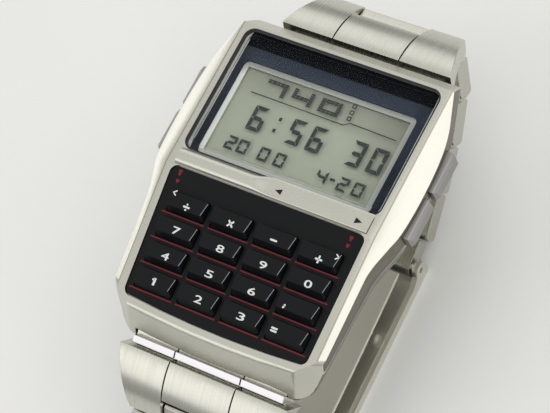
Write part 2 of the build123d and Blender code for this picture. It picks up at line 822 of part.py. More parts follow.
def end_link(side, droop):
    """Link at the head: tabs round the spring bar, arched parts that narrow away from the head."""
    across = droop_plane(side, side * lug_y, lug_z, droop)
    above = Plane(origin=across.origin, x_dir=across.x_dir, z_dir=across.y_dir)
    long_part = end_profile(end_length + link_half_thick)
    short_part = end_profile(end_length - near_edge)
    strip = strip_profile()
    tab_half = lug_slot_half - part_gap
    with BuildPart() as link:
        with BuildSketch(across.offset(centre_half + part_gap)):
            add(long_part)
        extrude(amount=end_half - centre_half - part_gap)
        with BuildSketch(across.offset(centre_half + part_gap)):
            Circle(tab_radius)
            with Locations((end_start, 0)):
                Rectangle(2 * end_start, 2 * tab_radius)
        extrude(amount=tab_half - centre_half - part_gap)
        if side < 0:
            with BuildSketch(across.offset(centre_half + part_gap)):
                add(strip)
            extrude(amount=tab_half - centre_half - part_gap)
        mirror(about=Plane.YZ)
        with BuildSketch(across):
            add(short_part)
            Circle(tab_radius)
            with Locations((end_start, 0)):
                Rectangle(2 * end_start, 2 * tab_radius)
            if side < 0:
                add(strip)
        extrude(amount=centre_half, both=True)
        with BuildSketch(across):
            with Locations((end_length, 0)):
                Circle(pin_radius)
            with Locations((end_length / 2, link_half_thick)):
                Circle(rivet_radius)
        extrude(amount=first_half - pin_inset, both=True)
        with BuildSketch(across):
            Circle(bar_radius + pin_fit)
        extrude(amount=far, both=True, mode=Mode.SUBTRACT)
        with BuildSketch(above):
            with BuildLine():
                edge = Polyline((-overrun, end_half), (end_start, end_half),
                                (end_length + link_half_thick, first_half),
                                (end_length + overrun, first_half))
                mirror(edge, about=Plane.XZ)
                Line(edge @ 0, (-overrun, -end_half))
                Line(edge @ 1, (end_length + overrun, -first_half))
            make_face()
        extrude(amount=overrun, both=True, mode=Mode.INTERSECT)
    return link.part


def outer_profile(length):
    """Side view of a link's outer parts: they reach past the pin at their far end."""
    reach = length + link_half_thick
    with BuildSketch() as profile:
        with BuildLine():
            edge = Polyline((near_edge, -link_half_thick), (near_edge, link_half_thick - link_edge),
                            (near_edge + link_edge, link_half_thick),
                            (reach - link_edge, link_half_thick),
                            (reach, link_half_thick - link_edge), (reach, 0))
            turn = RadiusArc(edge @ 1, (length, -link_half_thick), link_half_thick)
            Line(turn @ 1, edge @ 0)
        make_face()
    return profile.sketch


def centre_profile(reach):
    """Side view of a link's centre part: round below, about the pin at its near end."""
    with BuildSketch() as profile:
        with BuildLine():
            edge = Polyline((-link_half_thick, 0), (-link_half_thick, link_half_thick - link_edge),
                            (link_edge - link_half_thick, link_half_thick),
                            (reach - link_edge, link_half_thick),
                            (reach, link_half_thick - link_edge), (reach, -link_half_thick),
                            (0, -link_half_thick))
            RadiusArc(edge @ 1, edge @ 0, link_half_thick)
        make_face()
    return profile.sketch


def bracelet_link(side, pin, droop, half, length, is_last):
    """Link of two outer parts and a centre part, with the pin that carries the next link."""
    across = droop_plane(side, pin[0], pin[1], droop)
    outer = outer_profile(length)
    centre = centre_profile(length + link_half_thick if is_last else length - near_edge)
    with BuildPart() as link:
        with BuildSketch(across.offset(centre_half + part_gap)):
            add(outer)
        extrude(amount=half - centre_half - part_gap)
        mirror(about=Plane.YZ)
        with BuildSketch(across):
            add(centre)
        extrude(amount=centre_half, both=True)
        with BuildSketch(across):
            with Locations((length / 2, 0)):
                Circle(rivet_radius)
            if not is_last:
                with Locations((length, 0)):
                    Circle(pin_radius)
        extrude(amount=half - pin_inset, both=True)
        with BuildSketch(across):
            Circle(pin_radius + pin_fit)
        extrude(amount=centre_half + part_gap / 2, both=True, mode=Mode.SUBTRACT)
        if is_last:
            with BuildSketch(across):
                with Locations((length, 0)):
                    Circle(clasp_bar_radius)
            extrude(amount=far, both=True, mode=Mode.SUBTRACT)
    return link.part


def link_half_at(number, count):
    """Half width of a link: the band narrows evenly towards the clasp."""
    return first_half + (last_half - first_half) * number / (count - 1)


save(spring_bar(1), "spring_bar_twelve")
save(spring_bar(-1), "spring_bar_six")
save(end_link(1, twelve_angles[0]), "twelve_end_link")
save(end_link(-1, six_angles[0]), "six_end_link")

ear_inner = cover_half - ear_thick
last_count = len(twelve_angles) - 1
for number in range(1, last_count):
    half = link_half_at(number - 1, last_count)
    save(bracelet_link(1, twelve_pins[number], twelve_angles[number], half,
                       twelve_lengths[number], False), "twelve_link_%d" % number)
save(bracelet_link(1, twelve_pins[last_count], twelve_angles[last_count], ear_inner - ear_fit,
                   twelve_lengths[last_count], True), "twelve_link_%d" % last_count)

for number in range(1, len(six_angles)):
    half = link_half_at(number - 1, len(six_angles) - 1)
    save(bracelet_link(-1, six_pins[number], six_angles[number], half, six_lengths[number], False),
         "six_link_%d" % number)

# Clasp, between the last link's bar at 12 o'clock and the last link's pin at 6 o'clock

bar_y, bar_z = twelve_pins[-1]
pin_y, pin_z = six_pins[-1]
fold_y = bar_y - fold_place
fold_z = bar_z + fold_rise
hinge_y = pin_y + cover_hinge_place
hinge_z = fold_z - hinge_drop
floor_z = hinge_z - knuckle_radius - part_gap
cover_z = floor_z - cover_thick
free_y = bar_y - latch_end
free_z = bar_z + blade_lift
bow_y = (pin_y + free_y) / 2
bow_z = fold_z + knuckle_radius + part_gap

with BuildPart() as clasp_spring_bar:
    with BuildSketch(Plane.YZ):
        with Locations((bar_y, bar_z)):
            Circle(clasp_bar_radius)
    extrude(amount=ear_inner - clasp_bar_tip_fit, both=True)
save(clasp_spring_bar.part, "clasp_spring_bar")

with BuildPart() as clasp_inner_blade:
    with BuildSketch(Plane.YZ):
        with BuildLine():
            under = ThreePointArc((pin_y + eye_radius + link_gap, pin_z - blade_thick),
                                  (bow_y, bow_z), (free_y, free_z - blade_thick))
            top = ThreePointArc((free_y, free_z), (bow_y, bow_z + blade_thick),
                                (pin_y + eye_radius + link_gap, pin_z))
            Line(under @ 1, top @ 0)
            Line(top @ 1, under @ 0)
        make_face()
    extrude(amount=inner_half, both=True)
    # eye for the last link's pin
    with BuildSketch(Plane.YZ):
        with Locations((pin_y, pin_z)):
            Circle(eye_radius)
        with Locations((pin_y + eye_radius, pin_z - blade_thick / 2)):
            Rectangle(2 * (eye_radius + link_gap), blade_thick)
    extrude(amount=eye_half, both=True)
    with BuildSketch(Plane.YZ):
        with Locations((pin_y, pin_z)):
            Circle(pin_radius + pin_fit)
    extrude(amount=far, both=True, mode=Mode.SUBTRACT)
    # knuckles and pin for the middle blade
    for side in (-1, 1):
        with BuildSketch(Plane.YZ.offset(side * (middle_half + part_gap))):
            with Locations((fold_y, fold_z)):
                Circle(knuckle_radius)
            with Locations((fold_y, (fold_z + bow_z + blade_thick / 2) / 2)):
                Rectangle(2 * knuckle_radius, bow_z + blade_thick / 2 - fold_z)
        extrude(amount=side * knuckle_width)
    with BuildSketch(Plane.YZ):
        with Locations((fold_y, fold_z)):
            Circle(knuckle_pin)
    extrude(amount=middle_half + knuckle_width, both=True)
    # stud that snaps into the cover
    with BuildSketch(Plane.XY.offset(floor_z + link_gap)):
        with Locations((0, free_y - 2 * latch_stud)):
            Circle(latch_stud)
    extrude(amount=free_z - blade_thick / 2 - floor_z - link_gap)
save(clasp_inner_blade.part, "clasp_inner_blade")

with BuildPart() as clasp_middle_blade:
    with BuildSketch(Plane.YZ):
        with BuildLine():
            Polyline((fold_y, fold_z - blade_thick / 2), (fold_y, fold_z + blade_thick / 2),
                     (hinge_y, hinge_z + blade_thick / 2), (hinge_y, hinge_z - blade_thick / 2),
                     close=True)
        make_face()
        with Locations((fold_y, fold_z), (hinge_y, hinge_z)):
            Circle(knuckle_radius)
        with Locations((fold_y, fold_z), (hinge_y, hinge_z)):
            Circle(knuckle_pin + pin_fit, mode=Mode.SUBTRACT)
    extrude(amount=middle_half, both=True)
save(clasp_middle_blade.part, "clasp_middle_blade")

cover_foot = hinge_y - 2 * knuckle_radius - cover_turn_up
cover_head = bar_y - ear_radius - ear_fit
ear_head = bar_y + ear_radius

with BuildPart() as clasp_cover:
    with BuildSketch(Plane.YZ):
        with BuildLine():
            Polyline((cover_foot, cover_z + cover_turn_up), (cover_foot + cover_turn_up, cover_z),
                     (cover_head, cover_z), (cover_head, floor_z),
                     (cover_foot + cover_turn_up, floor_z), (cover_foot, floor_z), close=True)
        make_face()
    extrude(amount=cover_half, both=True)
    for side in (-1, 1):
        # raised lip along the side and ear for the last link
        with BuildSketch(Plane.YZ.offset(side * ear_inner)):
            with BuildLine():
                Polyline((cover_foot + cover_turn_up, cover_z),
                         (cover_foot + cover_turn_up, cover_z + cover_lip),
                         (cover_head - ear_radius, cover_z + cover_lip),
                         (bar_y - ear_radius, bar_z), (ear_head, bar_z), (ear_head, floor_z),
                         (ear_head - cover_turn_up, cover_z), close=True)
            make_face()
            with Locations((bar_y, bar_z)):
                Circle(ear_radius)
            with Locations((bar_y, bar_z)):
                Circle(bar_tip, mode=Mode.SUBTRACT)
        extrude(amount=side * ear_thick)
        # knuckle for the middle blade
        with BuildSketch(Plane.YZ.offset(side * (middle_half + part_gap))):
            with Locations((hinge_y, hinge_z)):
                Circle(knuckle_radius)
            with Locations((hinge_y, (hinge_z + floor_z - cover_thick / 2) / 2)):
                Rectangle(2 * knuckle_radius, hinge_z - floor_z + cover_thick / 2)
        extrude(amount=side * knuckle_width)
    with BuildSketch(Plane.YZ):
        with Locations((hinge_y, hinge_z)):
            Circle(knuckle_pin)
    extrude(amount=middle_half + knuckle_width, both=True)
save(clasp_cover.part, "clasp_cover")
print("clasp hinges", [(round(y, 3), round(z, 3)) for y, z in ((fold_y, fold_z), (hinge_y, hinge_z))])
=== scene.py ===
import json
import math

import bpy
from bpy.props import FloatProperty, FloatVectorProperty, PointerProperty
from mathutils import Matrix, Vector

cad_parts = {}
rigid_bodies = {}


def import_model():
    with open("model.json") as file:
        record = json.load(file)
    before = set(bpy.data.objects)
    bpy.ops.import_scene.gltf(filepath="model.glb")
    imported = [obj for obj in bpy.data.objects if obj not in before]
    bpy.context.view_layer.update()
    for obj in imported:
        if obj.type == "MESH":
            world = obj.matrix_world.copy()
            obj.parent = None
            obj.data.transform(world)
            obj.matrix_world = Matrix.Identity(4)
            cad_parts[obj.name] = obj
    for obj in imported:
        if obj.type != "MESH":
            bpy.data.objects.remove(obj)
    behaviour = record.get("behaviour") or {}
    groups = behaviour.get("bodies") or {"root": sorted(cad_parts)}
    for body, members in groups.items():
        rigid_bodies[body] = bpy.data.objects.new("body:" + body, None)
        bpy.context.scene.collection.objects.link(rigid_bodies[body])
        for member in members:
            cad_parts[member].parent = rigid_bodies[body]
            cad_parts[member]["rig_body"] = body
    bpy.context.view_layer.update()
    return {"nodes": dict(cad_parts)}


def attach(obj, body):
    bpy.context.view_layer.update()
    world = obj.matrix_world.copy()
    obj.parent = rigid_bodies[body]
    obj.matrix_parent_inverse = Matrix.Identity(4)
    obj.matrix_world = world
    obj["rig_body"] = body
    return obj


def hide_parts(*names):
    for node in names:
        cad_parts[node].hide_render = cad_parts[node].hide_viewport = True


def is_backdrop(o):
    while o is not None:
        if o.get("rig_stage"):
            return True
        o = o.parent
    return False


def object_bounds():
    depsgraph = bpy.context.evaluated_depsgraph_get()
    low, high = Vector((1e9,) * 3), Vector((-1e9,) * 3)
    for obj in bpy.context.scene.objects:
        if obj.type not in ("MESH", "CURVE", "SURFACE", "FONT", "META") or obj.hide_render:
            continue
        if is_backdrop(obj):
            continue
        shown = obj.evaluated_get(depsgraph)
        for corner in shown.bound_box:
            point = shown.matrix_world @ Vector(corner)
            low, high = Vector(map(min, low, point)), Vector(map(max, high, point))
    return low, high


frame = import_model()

bl_info = {
    "name": "Calculator watch looks",
    "version": (1, 0, 0),
    "blender": (4, 5, 0),
    "location": "3D View > Sidebar > Watch",
    "description": "Dresses the packed calculator watch with its finishes, prints and display",
    "category": "Object",
}

# One millimetre. The watch's origin is the middle of the case back, +X points to 3 o'clock, +Y to
# 12 o'clock and +Z up through the face. The values named below are in millimetres and degrees.
mm = 0.001

# The display half and the keypad half of the face fall away from one crest
crest_y, crest_z = -0.8, 8.2
display_slope, keypad_slope = -4, 7.5
crest = Matrix.Translation((0, crest_y * mm, crest_z * mm))
display_plane = crest @ Matrix.Rotation(math.radians(display_slope), 4, "X")
keypad_plane = crest @ Matrix.Rotation(math.radians(keypad_slope), 4, "X")

# Height of each face that carries prints, over the plane of its half
lcd_face = -1.05
key_face = 0.75
fascia_face = -0.08
pad_face = 0.3

# Where the crease beside each wing lies at the crest, how much it draws in for each millimetre
# towards 6 o'clock, and the height of the rim above the side walls. A painted shadow line follows
# the crease, and a painted highlight line lies along the rim
crease_x, crease_taper, rim_z = 15.2, 0.037, 4.4

# Pin of the 6 o'clock end link, and the smooth strip on that link beside the case, painted pale as
# a painted highlight: its slope, and its middle, half its width and its foot from the pin
link_pin_y, link_pin_z = -20.3, 1.35
strip_slope, strip_middle, strip_half, strip_foot = 29, -0.92, 0.6, 1.6

# Edges of the print under the glass: the foot of the black band, and the silver margin that
# paints a highlight on the glass's bevel
band_foot, bevel_highlight_x = 17.3, 13.52


def linear(hex_colour):
    """An sRGB hex colour as the linear red, green and blue that Blender works in."""
    parts = [int(hex_colour[i:i + 2], 16) / 255 for i in (0, 2, 4)]
    return tuple(p / 12.92 if p <= 0.04045 else ((p + 0.055) / 1.055) ** 2.4 for p in parts)


def colour_setting(name, description, hex_colour):
    return FloatVectorProperty(name=name, description=description, subtype="COLOR", size=3,
                               min=0, max=1, default=linear(hex_colour))


def length_setting(name, description, value):
    return FloatProperty(name=name, description=description, unit="LENGTH", subtype="DISTANCE",
                         default=value * mm, min=0)


class WatchFinishes(bpy.types.PropertyGroup):
    """Colours of the finishes."""
    steel: colour_setting("Steel", "Stainless steel of the case and bracelet", "C9C8BE")
    pusher: colour_setting("Pushers", "Blasted steel of the side pushers", "9E9D9C")
    key: colour_setting("Keys", "Moulded keys", "121315")
    fascia: colour_setting("Keypad", "Moulded panel round the keys", "101113")
    legend: colour_setting("Legends", "White printing on the keys", "D8DAD8")
    red: colour_setting("Red lines", "Lines under the keys", "741C26")
    slate: colour_setting("Print", "Print under the glass", "3D434F")
    band: colour_setting("Black band", "Band of the print at 12 o'clock", "191B1F")
    lcd: colour_setting("LCD", "Reflector behind the liquid crystal", "9FA294")
    digit: colour_setting("Digits", "Segments that are switched on", "363C3B")


class WatchSizes(bpy.types.PropertyGroup):
    """Sizes of the prints and edges."""
    edge: length_setting("Edge", "Rounding of the steel edges", 0.12)
    foot_edge: length_setting("Foot edge", "Rounding of the case edges at 6 o'clock", 0.4)
    key_edge: length_setting("Key edge", "Rounding of the key edges", 0.09)
    ink: length_setting("Ink", "Thickness of printed ink", 0.015)
    big_digit: length_setting("Time", "Height of the time's digits", 3.45)
    small_digit: length_setting("Date", "Height of the date's digits", 1.85)
    big_stroke: length_setting("Time stroke", "Width of the time's segments", 0.56)
    small_stroke: length_setting("Date stroke", "Width of the date's segments", 0.36)
    legend: length_setting("Legend", "Height of the numbers on the keys", 0.95)
    legend_width: length_setting("Legend width", "Width of the numbers on the keys", 1.08)
    line: length_setting("Line", "Width of the red lines", 0.16)


# Materials

def add_node(tree, kind, inputs=None, **settings):
    """Adds a node, sets it up and joins its inputs to values or to other nodes' outputs. A node
    given as an input stands for its first output in use."""
    node = tree.nodes.new(kind)
    for name, value in settings.items():
        setattr(node, name, value)
    for socket, value in (inputs or {}).items():
        if isinstance(value, bpy.types.Node):
            value = next(output for output in value.outputs if output.enabled)
        if isinstance(value, bpy.types.NodeSocket):
            tree.links.new(value, node.inputs[socket])
        else:
            node.inputs[socket].default_value = value
    return node


def named_material(recipe):
    """Turns a recipe into a function that makes a material of a name. The recipe adds its nodes
    to a tree, starting from the piece's own coordinates in metres, and returns the surface."""
    def make(name, *settings, **more):
        material = bpy.data.materials.new(name)
        material.use_nodes = True
        tree = material.node_tree
        tree.nodes.clear()
        place = add_node(tree, "ShaderNodeTexCoord").outputs["Object"]
        surface = recipe(tree, place, *settings, **more)
        add_node(tree, "ShaderNodeOutputMaterial", {"Surface": surface})
        return material
    return make


def shade_of(colour, share=1.0):
    """A colour made darker or lighter, as a socket takes it."""
    return (*(min(1, part * share) for part in colour), 1)


def grained(tree, place, size, low, high, detail=3.0):
    """A fine grain, its size in millimetres, and the roughness it spreads between two values."""
    fine = add_node(tree, "ShaderNodeTexNoise", {
        "Vector": place, "Scale": 1 / (size * mm), "Detail": detail})
    return fine, add_node(tree, "ShaderNodeMapRange", {
        "Value": fine, "From Min": 0.3, "From Max": 0.7, "To Min": low, "To Max": high})


def mottled(tree, place, size, dark, pale):
    """A tone that drifts between two colours in patches, their size in millimetres."""
    patches = add_node(tree, "ShaderNodeTexNoise", {"Vector": place, "Scale": 1 / (size * mm)})
    return add_node(tree, "ShaderNodeMix", {0: patches, 6: dark, 7: pale}, data_type="RGBA")


@named_material
def satin_steel(tree, place, colour, low, high, grain=0.12):
    """Stainless steel, fine blasted and then brushed lightly: a soft sheen with no clear
    reflections, warm grey, with a grain that only breaks up the highlights. The real grit is
    about 0.05 mm and is drawn coarser so that it shows."""
    fine, sheen = grained(tree, place, grain, low, high)
    tone = mottled(tree, place, 6, shade_of(colour, 0.92), shade_of(colour))
    grit = add_node(tree, "ShaderNodeBump", {"Height": fine, "Distance": 0.003 * mm})
    return add_node(tree, "ShaderNodeBsdfPrincipled", {
        "Base Color": tone, "Metallic": 1.0, "Roughness": sheen, "Normal": grit})


@named_material
def case_finish(tree, place, colour):
    """Stainless steel of the case: satin above, with a painted shadow line along the crease where
    the flat bezel meets each wing. The side walls are painted darker as painted shade, down to a
    lighter painted highlight line at the rim. The real grit is about 0.05 mm and is drawn coarser
    so that it shows."""
    fine, sheen = grained(tree, place, 0.12, 0.26, 0.36)
    split = add_node(tree, "ShaderNodeSeparateXYZ", {"Vector": place})
    facing = add_node(tree, "ShaderNodeSeparateXYZ", {
        "Vector": add_node(tree, "ShaderNodeTexCoord").outputs["Normal"]})
    # Mask of the painted shadow: a darker line along the crease where the flat bezel meets each
    # wing
    aside = add_node(tree, "ShaderNodeMath", {0: split.outputs["X"]}, operation="ABSOLUTE")
    along = add_node(tree, "ShaderNodeMath", {0: crest_y * mm, 1: split.outputs["Y"]},
                     operation="SUBTRACT")
    below = add_node(tree, "ShaderNodeMath", {0: along, 1: 0.0}, operation="MAXIMUM")
    drawn = add_node(tree, "ShaderNodeMath", {0: below, 1: crease_taper, 2: aside},
                     operation="MULTIPLY_ADD")
    near = add_node(tree, "ShaderNodeMath", {0: drawn, 1: crease_x * mm, 2: 0.1 * mm},
                    operation="COMPARE")
    up = add_node(tree, "ShaderNodeMath", {0: facing.outputs["Z"], 1: 0.85},
                  operation="GREATER_THAN")
    line = add_node(tree, "ShaderNodeMath", {0: near, 1: up}, operation="MULTIPLY")
    # Painted shade: the upright side walls are painted darker, all but a lighter painted highlight
    # line along the rim
    upright = add_node(tree, "ShaderNodeMapRange", {
        "Value": facing.outputs["Z"], "From Min": 0.5, "From Max": 0.25})
    rim_highlight = add_node(tree, "ShaderNodeMath", {0: split.outputs["Z"], 1: rim_z * mm, 2: 0.16 * mm},
                   operation="COMPARE")
    past_foot = add_node(tree, "ShaderNodeMath", {0: facing.outputs["Y"], 1: -0.5},
                         operation="GREATER_THAN")
    wall_shade = add_node(tree, "ShaderNodeMath", {0: upright, 1: past_foot}, operation="MULTIPLY")
    wall = add_node(tree, "ShaderNodeMath", {0: wall_shade, 1: rim_highlight}, operation="SUBTRACT",
                    use_clamp=True)
    tone = mottled(tree, place, 6, shade_of(colour, 0.92), shade_of(colour))
    crease_shaded = add_node(tree, "ShaderNodeMix", {0: line, 6: tone, 7: shade_of(linear("A09A8C"))},
                       data_type="RGBA")
    wall_shaded = add_node(tree, "ShaderNodeMix", {
        0: wall, 6: crease_shaded, 7: shade_of(linear("756F64"))}, data_type="RGBA")
    grit = add_node(tree, "ShaderNodeBump", {"Height": fine, "Distance": 0.002 * mm})
    return add_node(tree, "ShaderNodeBsdfPrincipled", {
        "Base Color": wall_shaded, "Metallic": 1.0, "Roughness": sheen, "Normal": grit})


@named_material
def brushed_steel(tree, place, colour, low, high, across=0.09, along=9.0, depth=0.0006,
                  strip=False):
    """Stainless steel, brushed along the band: fine straight lines that spread each highlight
    across the band. The real lines are about 0.03 mm apart and are drawn coarser so that they
    show. With a strip, the part beside the case is left smooth, and painted pale as a painted
    highlight."""
    drawn = add_node(tree, "ShaderNodeMapping", {
        "Vector": place, "Scale": (1 / (across * mm), 1 / (along * mm), 1 / (along * mm))})
    lines = add_node(tree, "ShaderNodeTexNoise", {
        "Vector": drawn, "Scale": 1.0, "Detail": 3.0, "Roughness": 0.6})
    streaks = add_node(tree, "ShaderNodeTexNoise", {"Vector": drawn, "Scale": 0.2})
    tone = add_node(tree, "ShaderNodeMix", {
        0: streaks, 6: shade_of(colour, 0.88), 7: shade_of(colour, 1.02)}, data_type="RGBA")
    sheen = add_node(tree, "ShaderNodeMapRange", {
        "Value": lines, "From Min": 0.3, "From Max": 0.7, "To Min": low, "To Max": high})
    scratch = add_node(tree, "ShaderNodeBump", {"Height": lines, "Distance": depth * mm})
    if strip:
        beside = add_node(tree, "ShaderNodeSeparateXYZ", {"Vector": add_node(
            tree, "ShaderNodeMapping", {
                "Vector": place, "Location": (0, link_pin_y * mm, link_pin_z * mm),
                "Rotation": (math.radians(strip_slope), 0, 0)}, vector_type="TEXTURE")})
        near = add_node(tree, "ShaderNodeMath", {
            0: beside.outputs["Y"], 1: strip_middle * mm, 2: strip_half * mm},
            operation="COMPARE")
        high_up = add_node(tree, "ShaderNodeMath", {
            0: beside.outputs["Z"], 1: strip_foot * mm}, operation="GREATER_THAN")
        smooth_and_highlit = add_node(tree, "ShaderNodeMath", {0: near, 1: high_up}, operation="MULTIPLY")
        # Painted highlight: the strip beside the case is painted pale, and it is also left smooth
        tone = add_node(tree, "ShaderNodeMix", {0: smooth_and_highlit, 6: tone, 7: shade_of(linear("DAD8DB"))},
                        data_type="RGBA")
        sheen = add_node(tree, "ShaderNodeMix", {0: smooth_and_highlit, 2: sheen, 3: 0.32})
        tree.links.new(add_node(tree, "ShaderNodeMath", {0: 1.0, 1: smooth_and_highlit},
                                operation="SUBTRACT").outputs[0], scratch.inputs["Strength"])
    return add_node(tree, "ShaderNodeBsdfPrincipled", {
        "Base Color": tone, "Metallic": 1.0, "Roughness": sheen, "Anisotropic": 0.4,
        "Normal": scratch})


@named_material
def mirror_steel(tree, place, colour):
    """Stainless steel, polished: clear reflections, slightly dulled by wear in broad patches."""
    sheen = grained(tree, place, 4, 0.1, 0.2)[1]
    return add_node(tree, "ShaderNodeBsdfPrincipled", {
        "Base Color": shade_of(colour), "Metallic": 1.0, "Roughness": sheen})


@named_material
def turned_metal(tree, place, colour, middle, low, high):
    """Nickelled metal, turned or ground in rings round a middle: rings about 0.15 mm apart."""
    centred = add_node(tree, "ShaderNodeMapping", {
        "Vector": place, "Location": (-middle[0] * mm, -middle[1] * mm, 0)})
    rings = add_node(tree, "ShaderNodeTexWave", {
        "Vector": centred, "Scale": 1 / (3.1 * mm), "Distortion": 0.4, "Detail": 2.0},
        wave_type="RINGS", rings_direction="Z").outputs["Fac"]
    sheen = add_node(tree, "ShaderNodeMapRange", {"Value": rings, "To Min": low, "To Max": high})
    groove = add_node(tree, "ShaderNodeBump", {"Height": rings, "Distance": 0.003 * mm})
    return add_node(tree, "ShaderNodeBsdfPrincipled", {
        "Base Color": shade_of(colour), "Metallic": 1.0, "Roughness": sheen, "Normal": groove})


@named_material
def moulded_plastic(tree, place, colour, rough, grain=0.15, depth=0.004):
    """ABS, moulded in a fine sparked tool: an even low sheen with a slight grain."""
    fine, sheen = grained(tree, place, grain, rough - 0.06, rough + 0.06)
    tone = mottled(tree, place, 5, shade_of(colour, 0.85), shade_of(colour, 1.1))
    skin = add_node(tree, "ShaderNodeBump", {"Height": fine, "Distance": depth * mm})
    return add_node(tree, "ShaderNodeBsdfPrincipled", {
        "Base Color": tone, "Roughness": sheen, "IOR": 1.54, "Specular IOR Level": 0.12,
        "Normal": skin})


@named_material
def mineral_glass(tree, place):
    """Mineral glass, polished and coated against glare: clear, with sharp reflections only at a
    slant and a faint green tint where it is thickest. The lamps' light passes it to the display
    as through real glass."""
    tint = mottled(tree, place, 9, (0.95, 0.98, 0.965, 1), (0.98, 0.99, 0.985, 1))
    shader = add_node(tree, "ShaderNodeBsdfPrincipled", {
        "Base Color": tint, "IOR": 1.5, "Transmission Weight": 1.0, "Roughness": 0.0,
        "Specular Tint": (0, 0, 0, 1)})
    path = add_node(tree, "ShaderNodeLightPath")
    clear = add_node(tree, "ShaderNodeBsdfTransparent", {"Color": (0.92, 0.93, 0.92, 1)})
    return add_node(tree, "ShaderNodeMixShader", {
        0: path.outputs["Is Shadow Ray"], 1: shader, 2: clear})


@named_material
def screen_ink(tree, place, colour, rough=0.4):
    """Screen printed ink: even colour, slightly mottled where the mesh laid it down."""
    tone = mottled(tree, place, 0.25, shade_of(colour, 0.86), shade_of(colour, 1.02))
    return add_node(tree, "ShaderNodeBsdfPrincipled", {
        "Base Color": tone, "Roughness": rough, "IOR": 1.5, "Specular IOR Level": 0.2})


@named_material
def silver_ink(tree, place, colour):
    """Silver ink: fine metal flakes in a clear binder, which scatter a broad soft sheen, with
    painted shade that makes it greyer towards 12 and 3 o'clock and beside the divider bar, where
    the rim of the glass shades it."""
    split = add_node(tree, "ShaderNodeSeparateXYZ", {"Vector": place})
    head, right, foot = [add_node(tree, "ShaderNodeMapRange", {
        "Value": split.outputs[axis], "From Min": pale * mm, "From Max": dark * mm,
        "To Max": most}) for axis, pale, dark, most in (
            ("Y", 13.5, 15.6, 1.0), ("X", 9, 12.3, 0.8), ("Y", 2.95, 2.75, 0.6))]
    ends = add_node(tree, "ShaderNodeMath", {0: head, 1: foot}, operation="MAXIMUM")
    shaded = add_node(tree, "ShaderNodeMath", {0: ends, 1: right}, operation="MAXIMUM")
    tone = mottled(tree, place, 0.3, shade_of(colour, 0.9), shade_of(colour))
    # Painted shade: greyer towards 12 and 3 o'clock and beside the divider bar
    whole = add_node(tree, "ShaderNodeMix", {0: shaded, 6: tone, 7: shade_of(colour, 0.3)},
                     data_type="RGBA")
    return add_node(tree, "ShaderNodeBsdfPrincipled", {
        "Base Color": whole, "Metallic": 0.8, "Roughness": 0.36})


@named_material
def glass_print(tree, place, slate, band, silver):
    """Print on the back of the glass: slate blue, with a black band at 12 o'clock, and a pale
    silver margin under the polished bevel, printed as a painted highlight that makes the bevel
    look bright."""
    split = add_node(tree, "ShaderNodeSeparateXYZ", {"Vector": place})
    fade = add_node(tree, "ShaderNodeMapRange", {
        "Value": split.outputs["Y"], "From Min": 3 * mm, "From Max": 17 * mm})
    head = add_node(tree, "ShaderNodeMapRange", {
        "Value": split.outputs["Y"], "From Min": band_foot * mm,
        "From Max": (band_foot + 0.2) * mm})
    aside = add_node(tree, "ShaderNodeMath", {0: split.outputs["X"]}, operation="ABSOLUTE")
    bevel_highlight = add_node(tree, "ShaderNodeMapRange", {
        "Value": aside, "From Min": bevel_highlight_x * mm, "From Max": (bevel_highlight_x + 0.08) * mm})
    body = add_node(tree, "ShaderNodeMix", {
        0: fade, 6: shade_of(slate, 0.72), 7: shade_of(slate)}, data_type="RGBA")
    banded = add_node(tree, "ShaderNodeMix", {0: head, 6: body, 7: shade_of(band)},
                      data_type="RGBA")
    # Painted highlight: the pale silver margin under the glass's bevel
    whole = add_node(tree, "ShaderNodeMix", {0: bevel_highlight, 6: banded, 7: shade_of(silver)},
                     data_type="RGBA")
    sheen = grained(tree, place, 0.4, 0.35, 0.5, 2.0)[1]
    return add_node(tree, "ShaderNodeBsdfPrincipled", {
        "Base Color": whole, "Roughness": sheen, "IOR": 1.5, "Specular IOR Level": 0.0})


@named_material
def reflector(tree, place, colour):
    """LCD panel: a matt reflector behind glass, grey green, slightly uneven in tone, with painted
    shade that makes it darker towards 12 and 3 o'clock, and a little at 9 o'clock, where the frame
    keeps light off it."""
    split = add_node(tree, "ShaderNodeSeparateXYZ", {"Vector": place})
    right, left, head = [add_node(tree, "ShaderNodeMapRange", {
        "Value": split.outputs[axis], "From Min": pale * mm, "From Max": dark * mm,
        "To Max": most}) for axis, pale, dark, most in (
            ("X", 6.5, 14.5, 1.0), ("X", -10.5, -12.3, 0.1), ("Y", 10.5, 15.2, 1.0))]
    sides = add_node(tree, "ShaderNodeMath", {0: right, 1: left}, operation="MAXIMUM")
    shadow = add_node(tree, "ShaderNodeMath", {0: sides, 1: head}, operation="ADD")
    dimmed = add_node(tree, "ShaderNodeMath", {0: shadow, 1: 0.36}, operation="MULTIPLY")
    tone = mottled(tree, place, 6, shade_of(colour, 0.93), shade_of(colour, 1.07))
    # Painted shade: darker towards 12 and 3 o'clock and a little at 9 o'clock
    shaded_tone = add_node(tree, "ShaderNodeMix", {
        0: dimmed, 6: tone, 7: shade_of(colour, 0.12)}, data_type="RGBA")
    sheen = grained(tree, place, 0.12, 0.5, 0.6, 2.0)[1]
    return add_node(tree, "ShaderNodeBsdfPrincipled", {
        "Base Color": shaded_tone, "Roughness": sheen, "IOR": 1.5, "Specular IOR Level": 0.2})


@named_material
def soft_rubber(tree, place, colour):
    """Silicone rubber, moulded: dark, matt, with a faint waxy sheen."""
    fine, sheen = grained(tree, place, 0.3, 0.55, 0.75)
    skin = add_node(tree, "ShaderNodeBump", {"Height": fine, "Distance": 0.01 * mm})
    return add_node(tree, "ShaderNodeBsdfPrincipled", {
        "Base Color": shade_of(colour), "Roughness": sheen, "IOR": 1.43, "Sheen Weight": 0.2,
        "Normal": skin})


